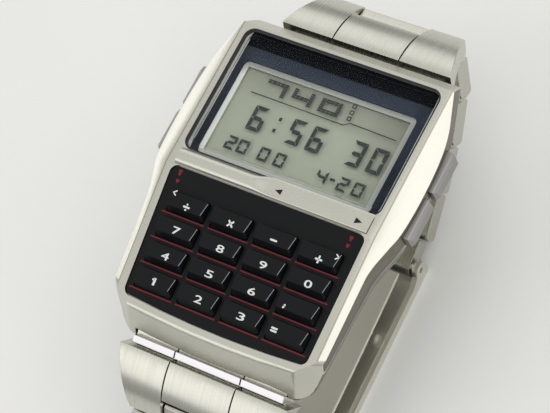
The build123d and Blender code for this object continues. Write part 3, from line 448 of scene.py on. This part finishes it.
@named_material
def striped_rubber(tree, place):
    """Zebra connector: layers of black and pale silicone rubber, 0.2 mm each."""
    layers = add_node(tree, "ShaderNodeTexWave", {"Vector": place, "Scale": 0.8 / mm},
                      wave_type="BANDS", bands_direction="X").outputs["Fac"]
    tone = add_node(tree, "ShaderNodeMix", {
        0: layers, 6: shade_of(linear("1B1B1D")), 7: shade_of(linear("C9C3B0"))},
        data_type="RGBA")
    return add_node(tree, "ShaderNodeBsdfPrincipled", {
        "Base Color": tone, "Roughness": 0.6, "IOR": 1.43})


@named_material
def circuit_laminate(tree, place):
    """FR4 laminate with green solder resist: tracks about 0.4 mm wide show through it."""
    tracks = add_node(tree, "ShaderNodeTexBrick", {
        "Vector": place, "Scale": 0.5 / mm, "Mortar Size": 0.06,
        "Color1": shade_of(linear("1F5B34")), "Color2": shade_of(linear("24683B")),
        "Mortar": shade_of(linear("4C8F4A"))})
    raised = add_node(tree, "ShaderNodeBump", {
        "Height": tracks.outputs["Fac"], "Distance": 0.02 * mm}, invert=True)
    return add_node(tree, "ShaderNodeBsdfPrincipled", {
        "Base Color": tracks.outputs["Color"], "Roughness": 0.35, "IOR": 1.55,
        "Normal": raised})


@named_material
def film(tree, place, colour):
    """Electroluminescent panel: a pale laminated film with a slight gloss."""
    tone = mottled(tree, place, 0.5, shade_of(colour, 0.9), shade_of(colour, 1.03))
    return add_node(tree, "ShaderNodeBsdfPrincipled", {
        "Base Color": tone, "Roughness": 0.4, "IOR": 1.5})


@named_material
def painted_board(tree, place, dark, pale):
    """Floor of painted board: matt, its tone drifting in broad patches."""
    tone = mottled(tree, place, 40, shade_of(dark), shade_of(pale))
    return add_node(tree, "ShaderNodeBsdfPrincipled", {"Base Color": tone, "Roughness": 0.8})


# Modelling

def deselect():
    if bpy.context.object and bpy.context.object.mode != "OBJECT":
        bpy.ops.object.mode_set(mode="OBJECT")
    bpy.ops.object.select_all(action="DESELECT")


def pick(piece):
    deselect()
    piece.select_set(True)
    bpy.context.view_layer.objects.active = piece


def edit(piece):
    """Opens a piece for editing, with all of it selected."""
    pick(piece)
    bpy.ops.object.mode_set(mode="EDIT")
    bpy.ops.mesh.select_all(action="SELECT")


def close_edit():
    """Turns all faces of the edited piece outwards and ends its editing."""
    bpy.ops.mesh.select_all(action="SELECT")
    bpy.ops.mesh.normals_make_consistent(inside=False)
    bpy.ops.object.mode_set(mode="OBJECT")


def settle(piece, name, place=None):
    """Names a piece and brings its place into its mesh."""
    piece.name = name
    piece.data.name = name
    if place is not None:
        piece.matrix_world = place @ piece.matrix_world
    pick(piece)
    bpy.ops.object.transform_apply(location=True, rotation=True, scale=True)


def dress(piece, material):
    piece.data.materials.clear()
    piece.data.materials.append(material)


def lay(piece, name, plane, face, material, body):
    """Lays a print on a face of one half of the watch, with its finish and its body."""
    settle(piece, name, plane @ Matrix.Translation((0, 0, face * mm)))
    dress(piece, material)
    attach(piece, body)


def join(pieces):
    deselect()
    for piece in pieces:
        piece.select_set(True)
    bpy.context.view_layer.objects.active = pieces[0]
    if len(pieces) > 1:
        bpy.ops.object.join()
    return bpy.context.view_layer.objects.active


def copy_of(piece, place=Matrix()):
    """A copy with its own mesh, moved by a matrix."""
    twin = piece.copy()
    twin.data = piece.data.copy()
    bpy.context.scene.collection.objects.link(twin)
    twin.data.transform(place)
    return twin


def drop(piece):
    mesh = piece.data
    bpy.data.objects.remove(piece)
    bpy.data.meshes.remove(mesh)


def at(x, y, angle=0):
    """A turn in degrees and then a move in millimetres on one half of the face."""
    return (Matrix.Translation((x * mm, y * mm, 0))
            @ Matrix.Rotation(math.radians(angle), 4, "Z"))


def plate(points, thickness):
    """A flat shape with these corners, in millimetres, raised by its thickness."""
    deselect()
    bpy.ops.mesh.primitive_circle_add(vertices=len(points), radius=mm, fill_type="NGON")
    piece = bpy.context.object
    for vertex, (x, y) in zip(piece.data.vertices, points):
        vertex.co = (x * mm, y * mm, 0)
    edit(piece)
    bpy.ops.mesh.extrude_region_move(TRANSFORM_OT_translate={"value": (0, 0, thickness)})
    close_edit()
    return piece


def bar_of(start, end, half, ink):
    """A printed bar between two points, given half its width: its ends are upright."""
    (x0, y0), (x1, y1) = start, end
    return plate([(x0, y0 - half), (x1, y1 - half), (x1, y1 + half), (x0, y0 + half)], ink)


def stroke_of(length, width, place, ink):
    """A straight stroke of a sign, its ends rounded, moved by a matrix."""
    reach, side, tip = length / 2, width / 2, width / 4
    inner = reach - tip
    piece = plate([(reach, tip), (inner, side), (-inner, side), (-reach, tip), (-reach, -tip),
                   (-inner, -side), (inner, -side), (reach, -tip)], ink)
    piece.data.transform(place)
    return piece


def merged_copy(node):
    """A copy of a CAD node, its loose triangles merged into flat faces."""
    piece = copy_of(frame["nodes"][node])
    piece.name = node + "_finished"
    piece.data.name = piece.name
    edit(piece)
    bpy.ops.mesh.remove_doubles(threshold=0.002 * mm)
    bpy.ops.mesh.dissolve_limited(angle_limit=math.radians(1))
    bpy.ops.object.mode_set(mode="OBJECT")
    return piece


def rounded_edges(node, width, material, sharpness=28, segments=2, shaped=None):
    """A CAD node's copy, or the given one, whose sharp edges are rounded to catch the light."""
    piece = shaped or merged_copy(node)
    rounding = piece.modifiers.new("Rounding", "BEVEL")
    rounding.width = width
    rounding.segments = segments
    rounding.limit_method = "ANGLE"
    rounding.angle_limit = math.radians(sharpness)
    pick(piece)
    bpy.ops.object.modifier_apply(modifier=rounding.name)
    bpy.ops.object.shade_smooth_by_angle(angle=math.radians(35))
    shading = piece.modifiers.new("Flat faces", "WEIGHTED_NORMAL")
    shading.keep_sharp = True
    bpy.ops.object.modifier_apply(modifier=shading.name)
    dress(piece, material)
    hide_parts(node)
    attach(piece, frame["nodes"][node]["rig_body"])


def select_edges(piece, wanted):
    """Opens a piece for editing with the edges selected whose middle, in millimetres, and angle
    between the two faces are wanted."""
    pick(piece)
    bpy.ops.object.mode_set(mode="EDIT")
    bpy.ops.mesh.select_mode(type="EDGE")
    bpy.ops.mesh.select_all(action="DESELECT")
    bpy.ops.object.mode_set(mode="OBJECT")
    mesh = piece.data
    faces = {}
    for face in mesh.polygons:
        for key in face.edge_keys:
            faces.setdefault(key, []).append(face.normal.copy())
    for edge in mesh.edges:
        sides = faces.get(edge.key, [])
        ends = [mesh.vertices[i].co / mm for i in edge.vertices]
        if len(sides) == 2 and wanted((ends[0] + ends[1]) / 2, sides[0].angle(sides[1], 0)):
            edge.select = True
    bpy.ops.object.mode_set(mode="EDIT")


def finish_node(node, material):
    """Gives a CAD node its finish."""
    mesh = frame["nodes"][node].data
    if not mesh.materials:
        mesh.materials.append(material)
    for slot in range(len(mesh.materials)):
        mesh.materials[slot] = material


class WatchOperator:
    """What the operators share."""
    bl_options = {"REGISTER", "UNDO"}

    def settings(self, context):
        return context.scene.watch_finishes, context.scene.watch_sizes


# Side view of the divider bar: half round on the left, and a flat pad on the right. The bar is
# drawn through its stations, each with its place along the bar and its share of the pad.
round_side = [(0.25, -0.65), (0.25, 0.0), (0.33, 0.2), (0.5, 0.36), (0.75, 0.47), (1.05, 0.53),
              (1.35, 0.55), (1.65, 0.53), (1.95, 0.47), (2.2, 0.36), (2.37, 0.2), (2.45, 0.03),
              (2.44, 0.0), (2.43, -0.65)]
pad_side = [(0.25, -0.65), (0.25, 0.05), (0.26, 0.18), (0.31, 0.26), (0.42, 0.3), (0.8, 0.3),
            (1.3, 0.3), (1.9, 0.3), (2.5, 0.3), (2.7, 0.29), (2.8, 0.24), (2.83, 0.14),
            (2.8, 0.06), (2.43, -0.65)]
stations = [(-13.97, 0), (-3.2, 0), (-2.7, 0.08), (-2.2, 0.25), (-1.7, 0.5), (-1.2, 0.75),
            (-0.7, 0.92), (-0.2, 1), (13.97, 1)]


def divider():
    """The divider bar: rings of its side view, bridged along the bar, so that the half round
    runs into the pad in a soft step."""
    rings = []
    for x, share in stations:
        deselect()
        bpy.ops.mesh.primitive_circle_add(vertices=len(round_side), radius=mm)
        ring = bpy.context.object
        for vertex, (y0, z0), (y1, z1) in zip(ring.data.vertices, round_side, pad_side):
            vertex.co = (x * mm, (y0 + (y1 - y0) * share) * mm, (z0 + (z1 - z0) * share) * mm)
        rings.append(ring)
    bar = join(rings)
    edit(bar)
    bpy.ops.mesh.bridge_edge_loops()
    bpy.ops.mesh.select_all(action="SELECT")
    bpy.ops.mesh.fill_holes(sides=0)
    close_edit()
    return bar


def is_foot(middle, angle):
    """Tells the upper edges of the case at 6 o'clock: along its end, and round its corners."""
    end = middle.y < -18.9
    corner = middle.y < -16 and abs(middle.x) > 14.4
    return angle > math.radians(12) and middle.z > 2.5 and (end or corner)


class WATCH_OT_case(WatchOperator, bpy.types.Operator):
    """Case, case back, screws and divider bar"""
    bl_idname = "watch.case"
    bl_label = "Case"

    def execute(self, context):
        finishes, sizes = self.settings(context)
        steel = finishes.steel
        body = merged_copy("case_body")
        select_edges(body, is_foot)
        bpy.ops.mesh.bevel(offset=sizes.foot_edge, segments=3, affect="EDGES")
        bpy.ops.object.mode_set(mode="OBJECT")
        rounded_edges("case_body", sizes.edge,
                      case_finish("case_satin_steel", steel), shaped=body)
        bar = divider()
        settle(bar, "divider_bar_finished", display_plane)
        bpy.ops.object.shade_smooth_by_angle(angle=math.radians(40))
        dress(bar, satin_steel("bar_satin_steel", steel, 0.26, 0.36))
        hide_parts("divider_bar")
        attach(bar, "case")
        rounded_edges("case_back", sizes.edge, brushed_steel(
            "back_brushed_steel", steel, 0.25, 0.4, across=0.14))
        finish_node("case_back_screws", mirror_steel("screw_polished_steel", steel))
        return {"FINISHED"}


class WATCH_OT_glass(WatchOperator, bpy.types.Operator):
    """Crystal, gasket, print, window frame and LCD panel"""
    bl_idname = "watch.glass"
    bl_label = "Glass"

    def execute(self, context):
        finishes = self.settings(context)[0]
        finish_node("crystal", mineral_glass("crystal_mineral_glass"))
        finish_node("crystal_gasket", soft_rubber("gasket_nitrile_rubber", linear("17181A")))
        finish_node("display_mask", glass_print(
            "mask_print", finishes.slate, finishes.band, linear("E2E2DC")))
        rounded_edges("window_frame", 0.1 * mm, silver_ink(
            "window_silver_ink", linear("DCDCD8")))
        finish_node("lcd_panel", reflector("lcd_reflector", finishes.lcd))
        return {"FINISHED"}


# Which of the seven segments each figure lights. They are lettered a to g: top, upper right,
# lower right, foot, lower left, upper left, middle.
lit = {"0": "abcdef", "2": "abged", "3": "abgcd", "4": "fgbc", "5": "afgcd", "6": "afgcde",
       "-": "g"}


def figure(character, middle, foot, width, height, stroke, ink):
    """A seven segment figure, standing on the display: its bars are mitred where they meet, with
    a narrow gap between them."""
    gap = 0.07 * stroke / mm
    side, top, wall = width / 2 / mm, height / mm, stroke / mm
    half = top / 2
    slant = wall - gap
    across = [(gap - side, 0), (side - gap, 0), (side - wall, slant), (wall - side, slant)]
    upright = [(0, gap), (slant, wall), (slant, half - wall / 2), (wall / 2, half - gap),
               (0, half - gap)]
    bridge = [(wall * 0.6 - side, half), (wall - side, half - wall / 2),
              (side - wall, half - wall / 2), (side - wall * 0.6, half),
              (side - wall, half + wall / 2), (wall - side, half + wall / 2)]
    bars = {
        "d": across, "a": [(x, top - y) for x, y in across], "g": bridge,
        "e": [(x - side, y) for x, y in upright], "c": [(side - x, y) for x, y in upright],
        "f": [(x - side, top - y) for x, y in upright],
        "b": [(side - x, top - y) for x, y in upright]}
    return [plate([(middle + x, foot + y) for x, y in bars[name]], ink)
            for name in lit[character]]


class WATCH_OT_digits(WatchOperator, bpy.types.Operator):
    """Time, date, dot matrix line and marks on the LCD"""
    bl_idname = "watch.digits"
    bl_label = "LCD digits"

    # Each row of figures, in millimetres on the display half: the figures and their middles, the
    # foot, the width of a figure, and which of the two heights and strokes it has
    rows = [([("6", -7.05), ("5", -1.35), ("6", 1.65), ("3", 7.4), ("0", 10.4)], 7.8, 2.0, "big"),
            ([("2", -8.75), ("0", -6.95), ("0", -3.85), ("0", -1.5)], 4.5, 1.45, "small"),
            ([("4", 4.7), ("2", 7.75), ("0", 9.9)], 4.35, 1.45, "small"),
            ([("-", 6.2)], 4.45, 1.3, "small")]
    colon = [(-4.15, 10.45), (-4.25, 8.8)]
    rule = [(-9.8, 12.62), (3.9, 12.5), (4.65, 13.0), (11.3, 12.85)]
    boxes = [(4.1, 15.25), (4.15, 14.38), (4.2, 13.51)]
    box_reach, box_half = 0.29, 0.065
    # Plain numbers stand in the dot matrix line, five dots wide and seven high
    dots = {"7": ["11111", "11111", "00001", "00001", "00001", "00001", "00001"],
            "4": ["10001", "10001", "10001", "11111", "11111", "00001", "00001"],
            "0": ["11111", "11111", "10001", "10001", "10001", "11111", "11111"]}
    dot_row = [("7", -8.3), ("4", -4.4), ("0", -0.35)]
    dot_head, dot_across, dot_down = 14.93, 0.6, 0.28

    def execute(self, context):
        finishes, sizes = self.settings(context)
        ink = sizes.ink
        lit_ink = screen_ink("lcd_lit_segment", finishes.digit, 0.35)
        measures = {"big": (sizes.big_digit, sizes.big_stroke),
                    "small": (sizes.small_digit, sizes.small_stroke)}
        figures = []
        for row, foot, width, size in self.rows:
            for character, x in row:
                figures += figure(character, x, foot, width * mm, *measures[size], ink)
        for x, y in self.colon:
            figures.append(bar_of((x - 0.2, y), (x + 0.2, y), 0.24, ink))
        dot = bar_of((-0.28, 0), (0.28, 0), 0.125, ink)
        matrix = [copy_of(dot, at(left + self.dot_across * (column + 0.5),
                                  self.dot_head - self.dot_down * line))
                  for character, left in self.dot_row
                  for line, cells in enumerate(self.dots[character])
                  for column, cell in enumerate(cells) if cell == "1"]
        drop(dot)
        marks = [bar_of(start, end, 0.07, ink) for start, end in zip(self.rule, self.rule[1:])]
        for x, y in self.boxes:
            for turn in range(4):
                edge = self.box_reach - self.box_half
                side = bar_of((-self.box_reach, edge), (self.box_reach, edge), self.box_half, ink)
                side.data.transform(at(x, y, 90 * turn))
                marks.append(side)
        for name, made in (("lcd_figures", figures), ("lcd_dot_matrix", matrix),
                           ("lcd_marks", marks)):
            lay(join(made), name, display_plane, lcd_face, lit_ink, "case")
        return {"FINISHED"}


def numeral(text, width, height, ink):
    """A number as a raised print, centred, with heavy strokes, drawn out to its width."""
    deselect()
    bpy.ops.object.text_add()
    piece = bpy.context.object
    piece.data.body = text
    piece.data.align_x = "CENTER"
    piece.data.align_y = "CENTER"
    piece.data.size = height
    piece.data.offset = 0.012 * height
    piece.data.extrude = ink / 2
    piece.data.resolution_u = 3
    pick(piece)
    bpy.ops.object.convert(target="MESH")
    piece = bpy.context.object
    low, high = ([pick_of(v.co[i] for v in piece.data.vertices) for i in range(2)]
                 for pick_of in (min, max))
    piece.data.transform(
        Matrix.Diagonal((width / (high[0] - low[0]), height / (high[1] - low[1]), 1, 1))
        @ Matrix.Translation((-(low[0] + high[0]) / 2, -(low[1] + high[1]) / 2, ink / 2)))
    return piece


# The key's node, its number, and the middle of the number on the keypad half. The narrow 1 takes
# only a share of the width.
legends = [
    ("key_seven", "7", -9.5, -7.7), ("key_eight", "8", -2.9, -7.8),
    ("key_nine", "9", 3.35, -7.75), ("key_zero", "0", 9.9, -7.9),
    ("key_four", "4", -9.5, -11.1), ("key_five", "5", -2.9, -11.15),
    ("key_six", "6", 3.35, -11.2), ("key_one", "1", -9.5, -14.5),
    ("key_two", "2", -2.9, -14.5), ("key_three", "3", 3.35, -14.5)]
one_share = 0.3
# Each sign's strokes: the middle, the length and the angle of each. An arrow stands in the corner
# of two keys: its point, and whether it points up or down.
signs = {
    "key_one": [((-9.68, -14.22), 0.42, 32)],
    "key_divide": [((-9.5, -4.55), 0.95, 0), ((-9.5, -4.2), 0.24, 90), ((-9.5, -4.9), 0.24, 90)],
    "key_multiply": [((-2.95, -4.5), 1.1, 45), ((-2.95, -4.5), 1.1, -45)],
    "key_minus": [((3.35, -4.5), 1.0, 0)],
    "key_plus": [((9.9, -4.7), 1.0, 0), ((9.9, -4.7), 1.0, 90)],
    "key_equals": [((8.1, -14.3), 0.9, 0), ((8.1, -14.65), 0.9, 0)],
    "key_point": [((8.14, -11.3), 0.32, 90), ((8.08, -11.5), 0.4, 62)]}
arrows = {"key_divide": (-11.8, -3.35, 1), "key_plus": (12.1, -3.65, -1)}
# How far each corner of a key's top moves, found by whether it is a right and an upper one
top_moves = {(True, True): (0.42, 0.38), (True, False): (0.05, 0.3),
             (False, True): (-0.35, 0.38), (False, False): (-0.3, 0.3)}


def widen_top(key):
    """Moves the corners of a key's top outwards and towards 12 o'clock, where the real key's top
    is nearly as wide as its foot and its long slope faces 6 o'clock. Returns the right end, the
    head and the foot of the top, in millimetres on the keypad half."""
    flat = keypad_plane.inverted()
    top = [(v, flat @ v.co / mm) for v in key.data.vertices
           if (flat @ v.co).z > (key_face - 0.05) * mm]
    x, y = [(min(p[i] for _, p in top) + max(p[i] for _, p in top)) / 2 for i in range(2)]
    for vertex, place in top:
        move = Vector((*top_moves[place.x > x, place.y > y], 0))
        vertex.co = keypad_plane @ ((place + move) * mm)
    places = [flat @ v.co / mm for v, _ in top]
    return (max(p.x for p in places), max(p.y for p in places), min(p.y for p in places))


class WATCH_OT_keys(WatchOperator, bpy.types.Operator):
    """Keys and the prints on them"""
    bl_idname = "watch.keys"
    bl_label = "Keys"

    def execute(self, context):
        finishes, sizes = self.settings(context)
        plastic = moulded_plastic("key_moulded_abs", finishes.key, 0.36)
        white = screen_ink("legend_white_ink", finishes.legend)
        # Paler plastic for a painted highlight along the right end of each key's top
        highlight_plastic = moulded_plastic("key_worn_abs", linear("8C8E8E"), 0.3)
        prints = []
        for node in sorted(n for n in frame["nodes"] if n.startswith("key_")):
            key = merged_copy(node)
            right, head, foot = widen_top(key)
            rounded_edges(node, sizes.key_edge, plastic, 20, 3, shaped=key)
            # A painted highlight line, 0.08 mm wide, leans along the right end of the top, where
            # the key's edge catches the light
            edge = plate([(right - 0.07, head - 0.12), (right - 0.47, foot + 0.1),
                          (right - 0.39, foot + 0.1), (right + 0.01, head - 0.12)], sizes.ink)
            prints.append((node, "_worn_edge", edge, highlight_plastic))
        for node, sign, x, y in legends:
            piece = numeral(sign, sizes.legend_width * (one_share if sign == "1" else 1),
                            sizes.legend, sizes.ink)
            piece.data.transform(at(x, y))
            prints.append((node, "_legend", piece, white))
        for node, strokes in signs.items():
            made = [stroke_of(length, 0.24, at(*middle, angle), sizes.ink)
                    for middle, length, angle in strokes]
            if node in arrows:
                x, y, way = arrows[node]
                made += [stroke_of(0.62, 0.16, at(x, y + 0.15 * way * turn, 35 * turn), sizes.ink)
                         for turn in (1, -1)]
            prints.append((node, "_sign", join(made), white))
        for node, kind, piece, finish in prints:
            lay(piece, node + kind, keypad_plane, key_face, finish, node)
        return {"FINISHED"}


class WATCH_OT_keypad(WatchOperator, bpy.types.Operator):
    """Panel round the keys, its red lines and marks, and the marks on the divider bar"""
    bl_idname = "watch.keypad"
    bl_label = "Keypad"

    # Ends of the red line under each column of keys, how far down the keypad each row's is, the
    # middle, head and foot of each small red mark, and the corners of the arrows on the bar's pad
    columns = [(-13.0, -6.65), (-6.05, -0.2), (0.4, 6.15), (6.65, 12.9)]
    rows = [-5.9, -9.3, -12.65, -16.05]
    marks = [(-12.7, -0.35, -1.1), (-12.6, -1.6, -2.05), (12.4, -0.6, -1.2), (12.35, -1.65, -2.1)]
    pad_arrows = [[(0.45, 1.33), (1.4, 0.95), (1.4, 1.72)],
                  [(12.95, 1.3), (11.95, 1.68), (11.95, 0.88)]]

    def execute(self, context):
        finishes, sizes = self.settings(context)
        rounded_edges("keypad_fascia", 0.08 * mm, moulded_plastic(
            "fascia_moulded_abs", finishes.fascia, 0.42, 0.3, 0.01))
        half = sizes.line / mm / 2
        made = [bar_of((x0, y), (x1, y), half, sizes.ink)
                for y in self.rows for x0, x1 in self.columns]
        made += [plate([(x - 0.3, head), (x - 0.12, foot), (x + 0.12, foot), (x + 0.3, head)],
                       sizes.ink) for x, head, foot in self.marks]
        lay(join(made), "keypad_red_lines", keypad_plane, fascia_face,
            screen_ink("keypad_red_ink", finishes.red), "case")
        made = [plate(corners, sizes.ink) for corners in self.pad_arrows]
        lay(join(made), "pad_arrows", display_plane, pad_face,
            screen_ink("pad_black_ink", linear("141416")), "case")
        return {"FINISHED"}


class WATCH_OT_bracelet(WatchOperator, bpy.types.Operator):
    """Links and clasp"""
    bl_idname = "watch.bracelet"
    bl_label = "Bracelet"

    def execute(self, context):
        finishes, sizes = self.settings(context)
        steel = finishes.steel
        brushed = brushed_steel("link_brushed_steel", steel, 0.2, 0.32)
        stripped = brushed_steel("end_link_brushed_steel", steel, 0.2, 0.32, strip=True)
        for node in sorted(frame["nodes"]):
            if node.startswith(("twelve_", "six_")):
                rounded_edges(node, sizes.edge,
                              stripped if node == "six_end_link" else brushed)
        # The clasp and its blades are painted paler than the case's steel, as painted light where
        # they lie under the case
        rounded_edges("clasp_cover", sizes.edge, brushed_steel(
            "clasp_brushed_steel", linear("E0DED5"), 0.3, 0.46, across=0.12, depth=0.0012))
        rolled_and_lit = satin_steel("blade_rolled_steel", linear("E8E6DD"), 0.42, 0.5, 0.3)
        for node in ("clasp_inner_blade", "clasp_middle_blade"):
            rounded_edges(node, sizes.edge, rolled_and_lit)
        pin = mirror_steel("pin_polished_steel", steel)
        for node in ("spring_bar_twelve", "spring_bar_six", "clasp_spring_bar"):
            finish_node(node, pin)
        return {"FINISHED"}


class WATCH_OT_pushers(WatchOperator, bpy.types.Operator):
    """Side pushers"""
    bl_idname = "watch.pushers"
    bl_label = "Pushers"

    def execute(self, context):
        finishes, sizes = self.settings(context)
        blasted = satin_steel("pusher_blasted_steel", finishes.pusher, 0.34, 0.48, 0.18)
        for node in sorted(n for n in frame["nodes"] if n.startswith("pusher_")):
            if node == "pusher_seals":
                finish_node(node, soft_rubber("seal_nitrile_rubber", linear("1A1A1C")))
            else:
                rounded_edges(node, sizes.edge, blasted)
        return {"FINISHED"}


class WATCH_OT_module(WatchOperator, bpy.types.Operator):
    """Pieces inside the case"""
    bl_idname = "watch.module"
    bl_label = "Module"

    def execute(self, context):
        board = circuit_laminate("board_fr4_laminate")
        for node, material in (
                ("keypad_board", board), ("circuit_board", board),
                ("module_frame", moulded_plastic("module_moulded_pom", linear("3A3A3C"), 0.45)),
                ("logic_chip", moulded_plastic("chip_moulded_epoxy", linear("1C1C1E"), 0.5)),
                ("quartz_crystal", mirror_steel("quartz_nickel_can", linear("C4C2BA"))),
                ("battery", turned_metal(
                    "battery_nickel_steel", linear("C8C6BE"), (0, 5.4), 0.22, 0.34)),
                ("battery_clip", brushed_steel(
                    "clip_brushed_steel", linear("C2C0B8"), 0.2, 0.32, across=0.1, along=5.0)),
                ("buzzer", turned_metal("buzzer_brass", linear("C0A25A"), (0, -9.6), 0.25, 0.4)),
                ("backlight_panel", film("backlight_el_film", linear("CFE0D8"))),
                ("zebra_connectors", striped_rubber("zebra_silicone_layers")),
                ("keypad_membrane", soft_rubber("membrane_silicone", linear("2A2A2C"))),
                ("case_back_gasket", soft_rubber("back_gasket_nitrile", linear("161618")))):
            finish_node(node, material)
        return {"FINISHED"}


def softbox(name, place, aim, size, power):
    """A rectangular studio lamp that faces a point."""
    bpy.ops.object.light_add(type="AREA", location=place)
    lamp = bpy.context.object
    lamp.name = name
    lamp.data.shape = "RECTANGLE"
    lamp.data.size, lamp.data.size_y = size
    lamp.data.energy = power
    lamp.rotation_mode = "QUATERNION"
    lamp.rotation_quaternion = (Vector(aim) - Vector(place)).to_track_quat("-Z", "Y")


class WATCH_OT_stage(WatchOperator, bpy.types.Operator):
    """Floor, lamps, world and camera"""
    bl_idname = "watch.stage"
    bl_label = "Stage"

    # Name, place, aim, size and power of each lamp, in metres and watts
    lamps = [("key_lamp", (0.26, 0.12, 0.55), (0, 0, 0), (0.66, 0.66), 1.42),
             ("front_lamp", (-0.32, -0.45, 0.43), (0, 0, 0), (0.5, 0.4), 0.54),
             ("left_lamp", (-0.6, 0.12, 0.16), (0, 0, 0), (0.4, 0.25), 0.5),
             ("right_lamp", (0.5, -0.13, 0.13), (0, 0, -0.01), (0.5, 0.24), 0.44),
             ("back_lamp", (-0.3, 0.52, 0.32), (0, 0, 0), (0.4, 0.3), 0.25)]
    # The camera as fitted to the photograph: its place and aim, its roll and its focal length
    eye, aim = (141.024, -63.194, 272.830), (1.26, -1.29, 8.0)
    roll, lens = -42.3, 164.95

    def execute(self, context):
        scene = context.scene
        scene.view_settings.view_transform = "Standard"
        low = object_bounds()[0].z
        deselect()
        bpy.ops.mesh.primitive_plane_add(size=3, location=(0, 0, low - 0.02 * mm))
        floor = bpy.context.object
        settle(floor, "floor")
        dress(floor, painted_board(
            "floor_painted_board", linear("DCDCDA"), linear("E4E4E2")))
        floor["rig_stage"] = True
        for lamp in self.lamps:
            softbox(*lamp)
        world = bpy.data.worlds.new("studio")
        scene.world = world
        world.use_nodes = True
        tree = world.node_tree
        tree.nodes.clear()
        place = add_node(tree, "ShaderNodeTexCoord").outputs["Generated"]
        split = add_node(tree, "ShaderNodeSeparateXYZ", {"Vector": place})
        strength = add_node(tree, "ShaderNodeMapRange", {
            "Value": split.outputs["Z"], "From Max": 0.85, "To Min": 0.34, "To Max": 0.95})
        around = add_node(tree, "ShaderNodeBackground", {
            "Color": shade_of(linear("F6F6F4")), "Strength": strength})
        add_node(tree, "ShaderNodeOutputWorld", {"Surface": around})
        eye, aim = (Vector([part * mm for part in point]) for point in (self.eye, self.aim))
        deselect()
        bpy.ops.object.camera_add(location=eye)
        camera = bpy.context.object
        camera.name = "camera"
        camera.matrix_world = (Matrix.Translation(eye)
                               @ (aim - eye).to_track_quat("-Z", "Y").to_matrix().to_4x4()
                               @ Matrix.Rotation(math.radians(self.roll), 4, "Z"))
        camera.data.lens = self.lens
        camera.data.sensor_width = 36
        camera.data.sensor_fit = "HORIZONTAL"
        camera.data.clip_start = 0.01
        camera.data.clip_end = 20
        scene.camera = camera
        return {"FINISHED"}


class WATCH_PT_panel(bpy.types.Panel):
    """Watch tab of the sidebar"""
    bl_idname = "WATCH_PT_panel"
    bl_label = "Calculator watch"
    bl_space_type = "VIEW_3D"
    bl_region_type = "UI"
    bl_category = "Watch"

    def draw(self, context):
        layout = self.layout
        for group in (context.scene.watch_finishes, context.scene.watch_sizes):
            box = layout.box()
            for name in group.__annotations__:
                box.prop(group, name)
        for operator in operators:
            layout.operator(operator.bl_idname)


operators = (WATCH_OT_case, WATCH_OT_glass, WATCH_OT_digits, WATCH_OT_keys, WATCH_OT_keypad,
             WATCH_OT_bracelet, WATCH_OT_pushers, WATCH_OT_module, WATCH_OT_stage)
classes = (WatchFinishes, WatchSizes, *operators, WATCH_PT_panel)


def register():
    for item in classes:
        bpy.utils.register_class(item)
    bpy.types.Scene.watch_finishes = PointerProperty(type=WatchFinishes)
    bpy.types.Scene.watch_sizes = PointerProperty(type=WatchSizes)


def unregister():
    del bpy.types.Scene.watch_sizes
    del bpy.types.Scene.watch_finishes
    for item in reversed(classes):
        bpy.utils.unregister_class(item)


def main():
    register()
    for operator in operators:
        group, name = operator.bl_idname.split(".")
        getattr(getattr(bpy.ops, group), name)()


if __name__ == "__main__":
    main()
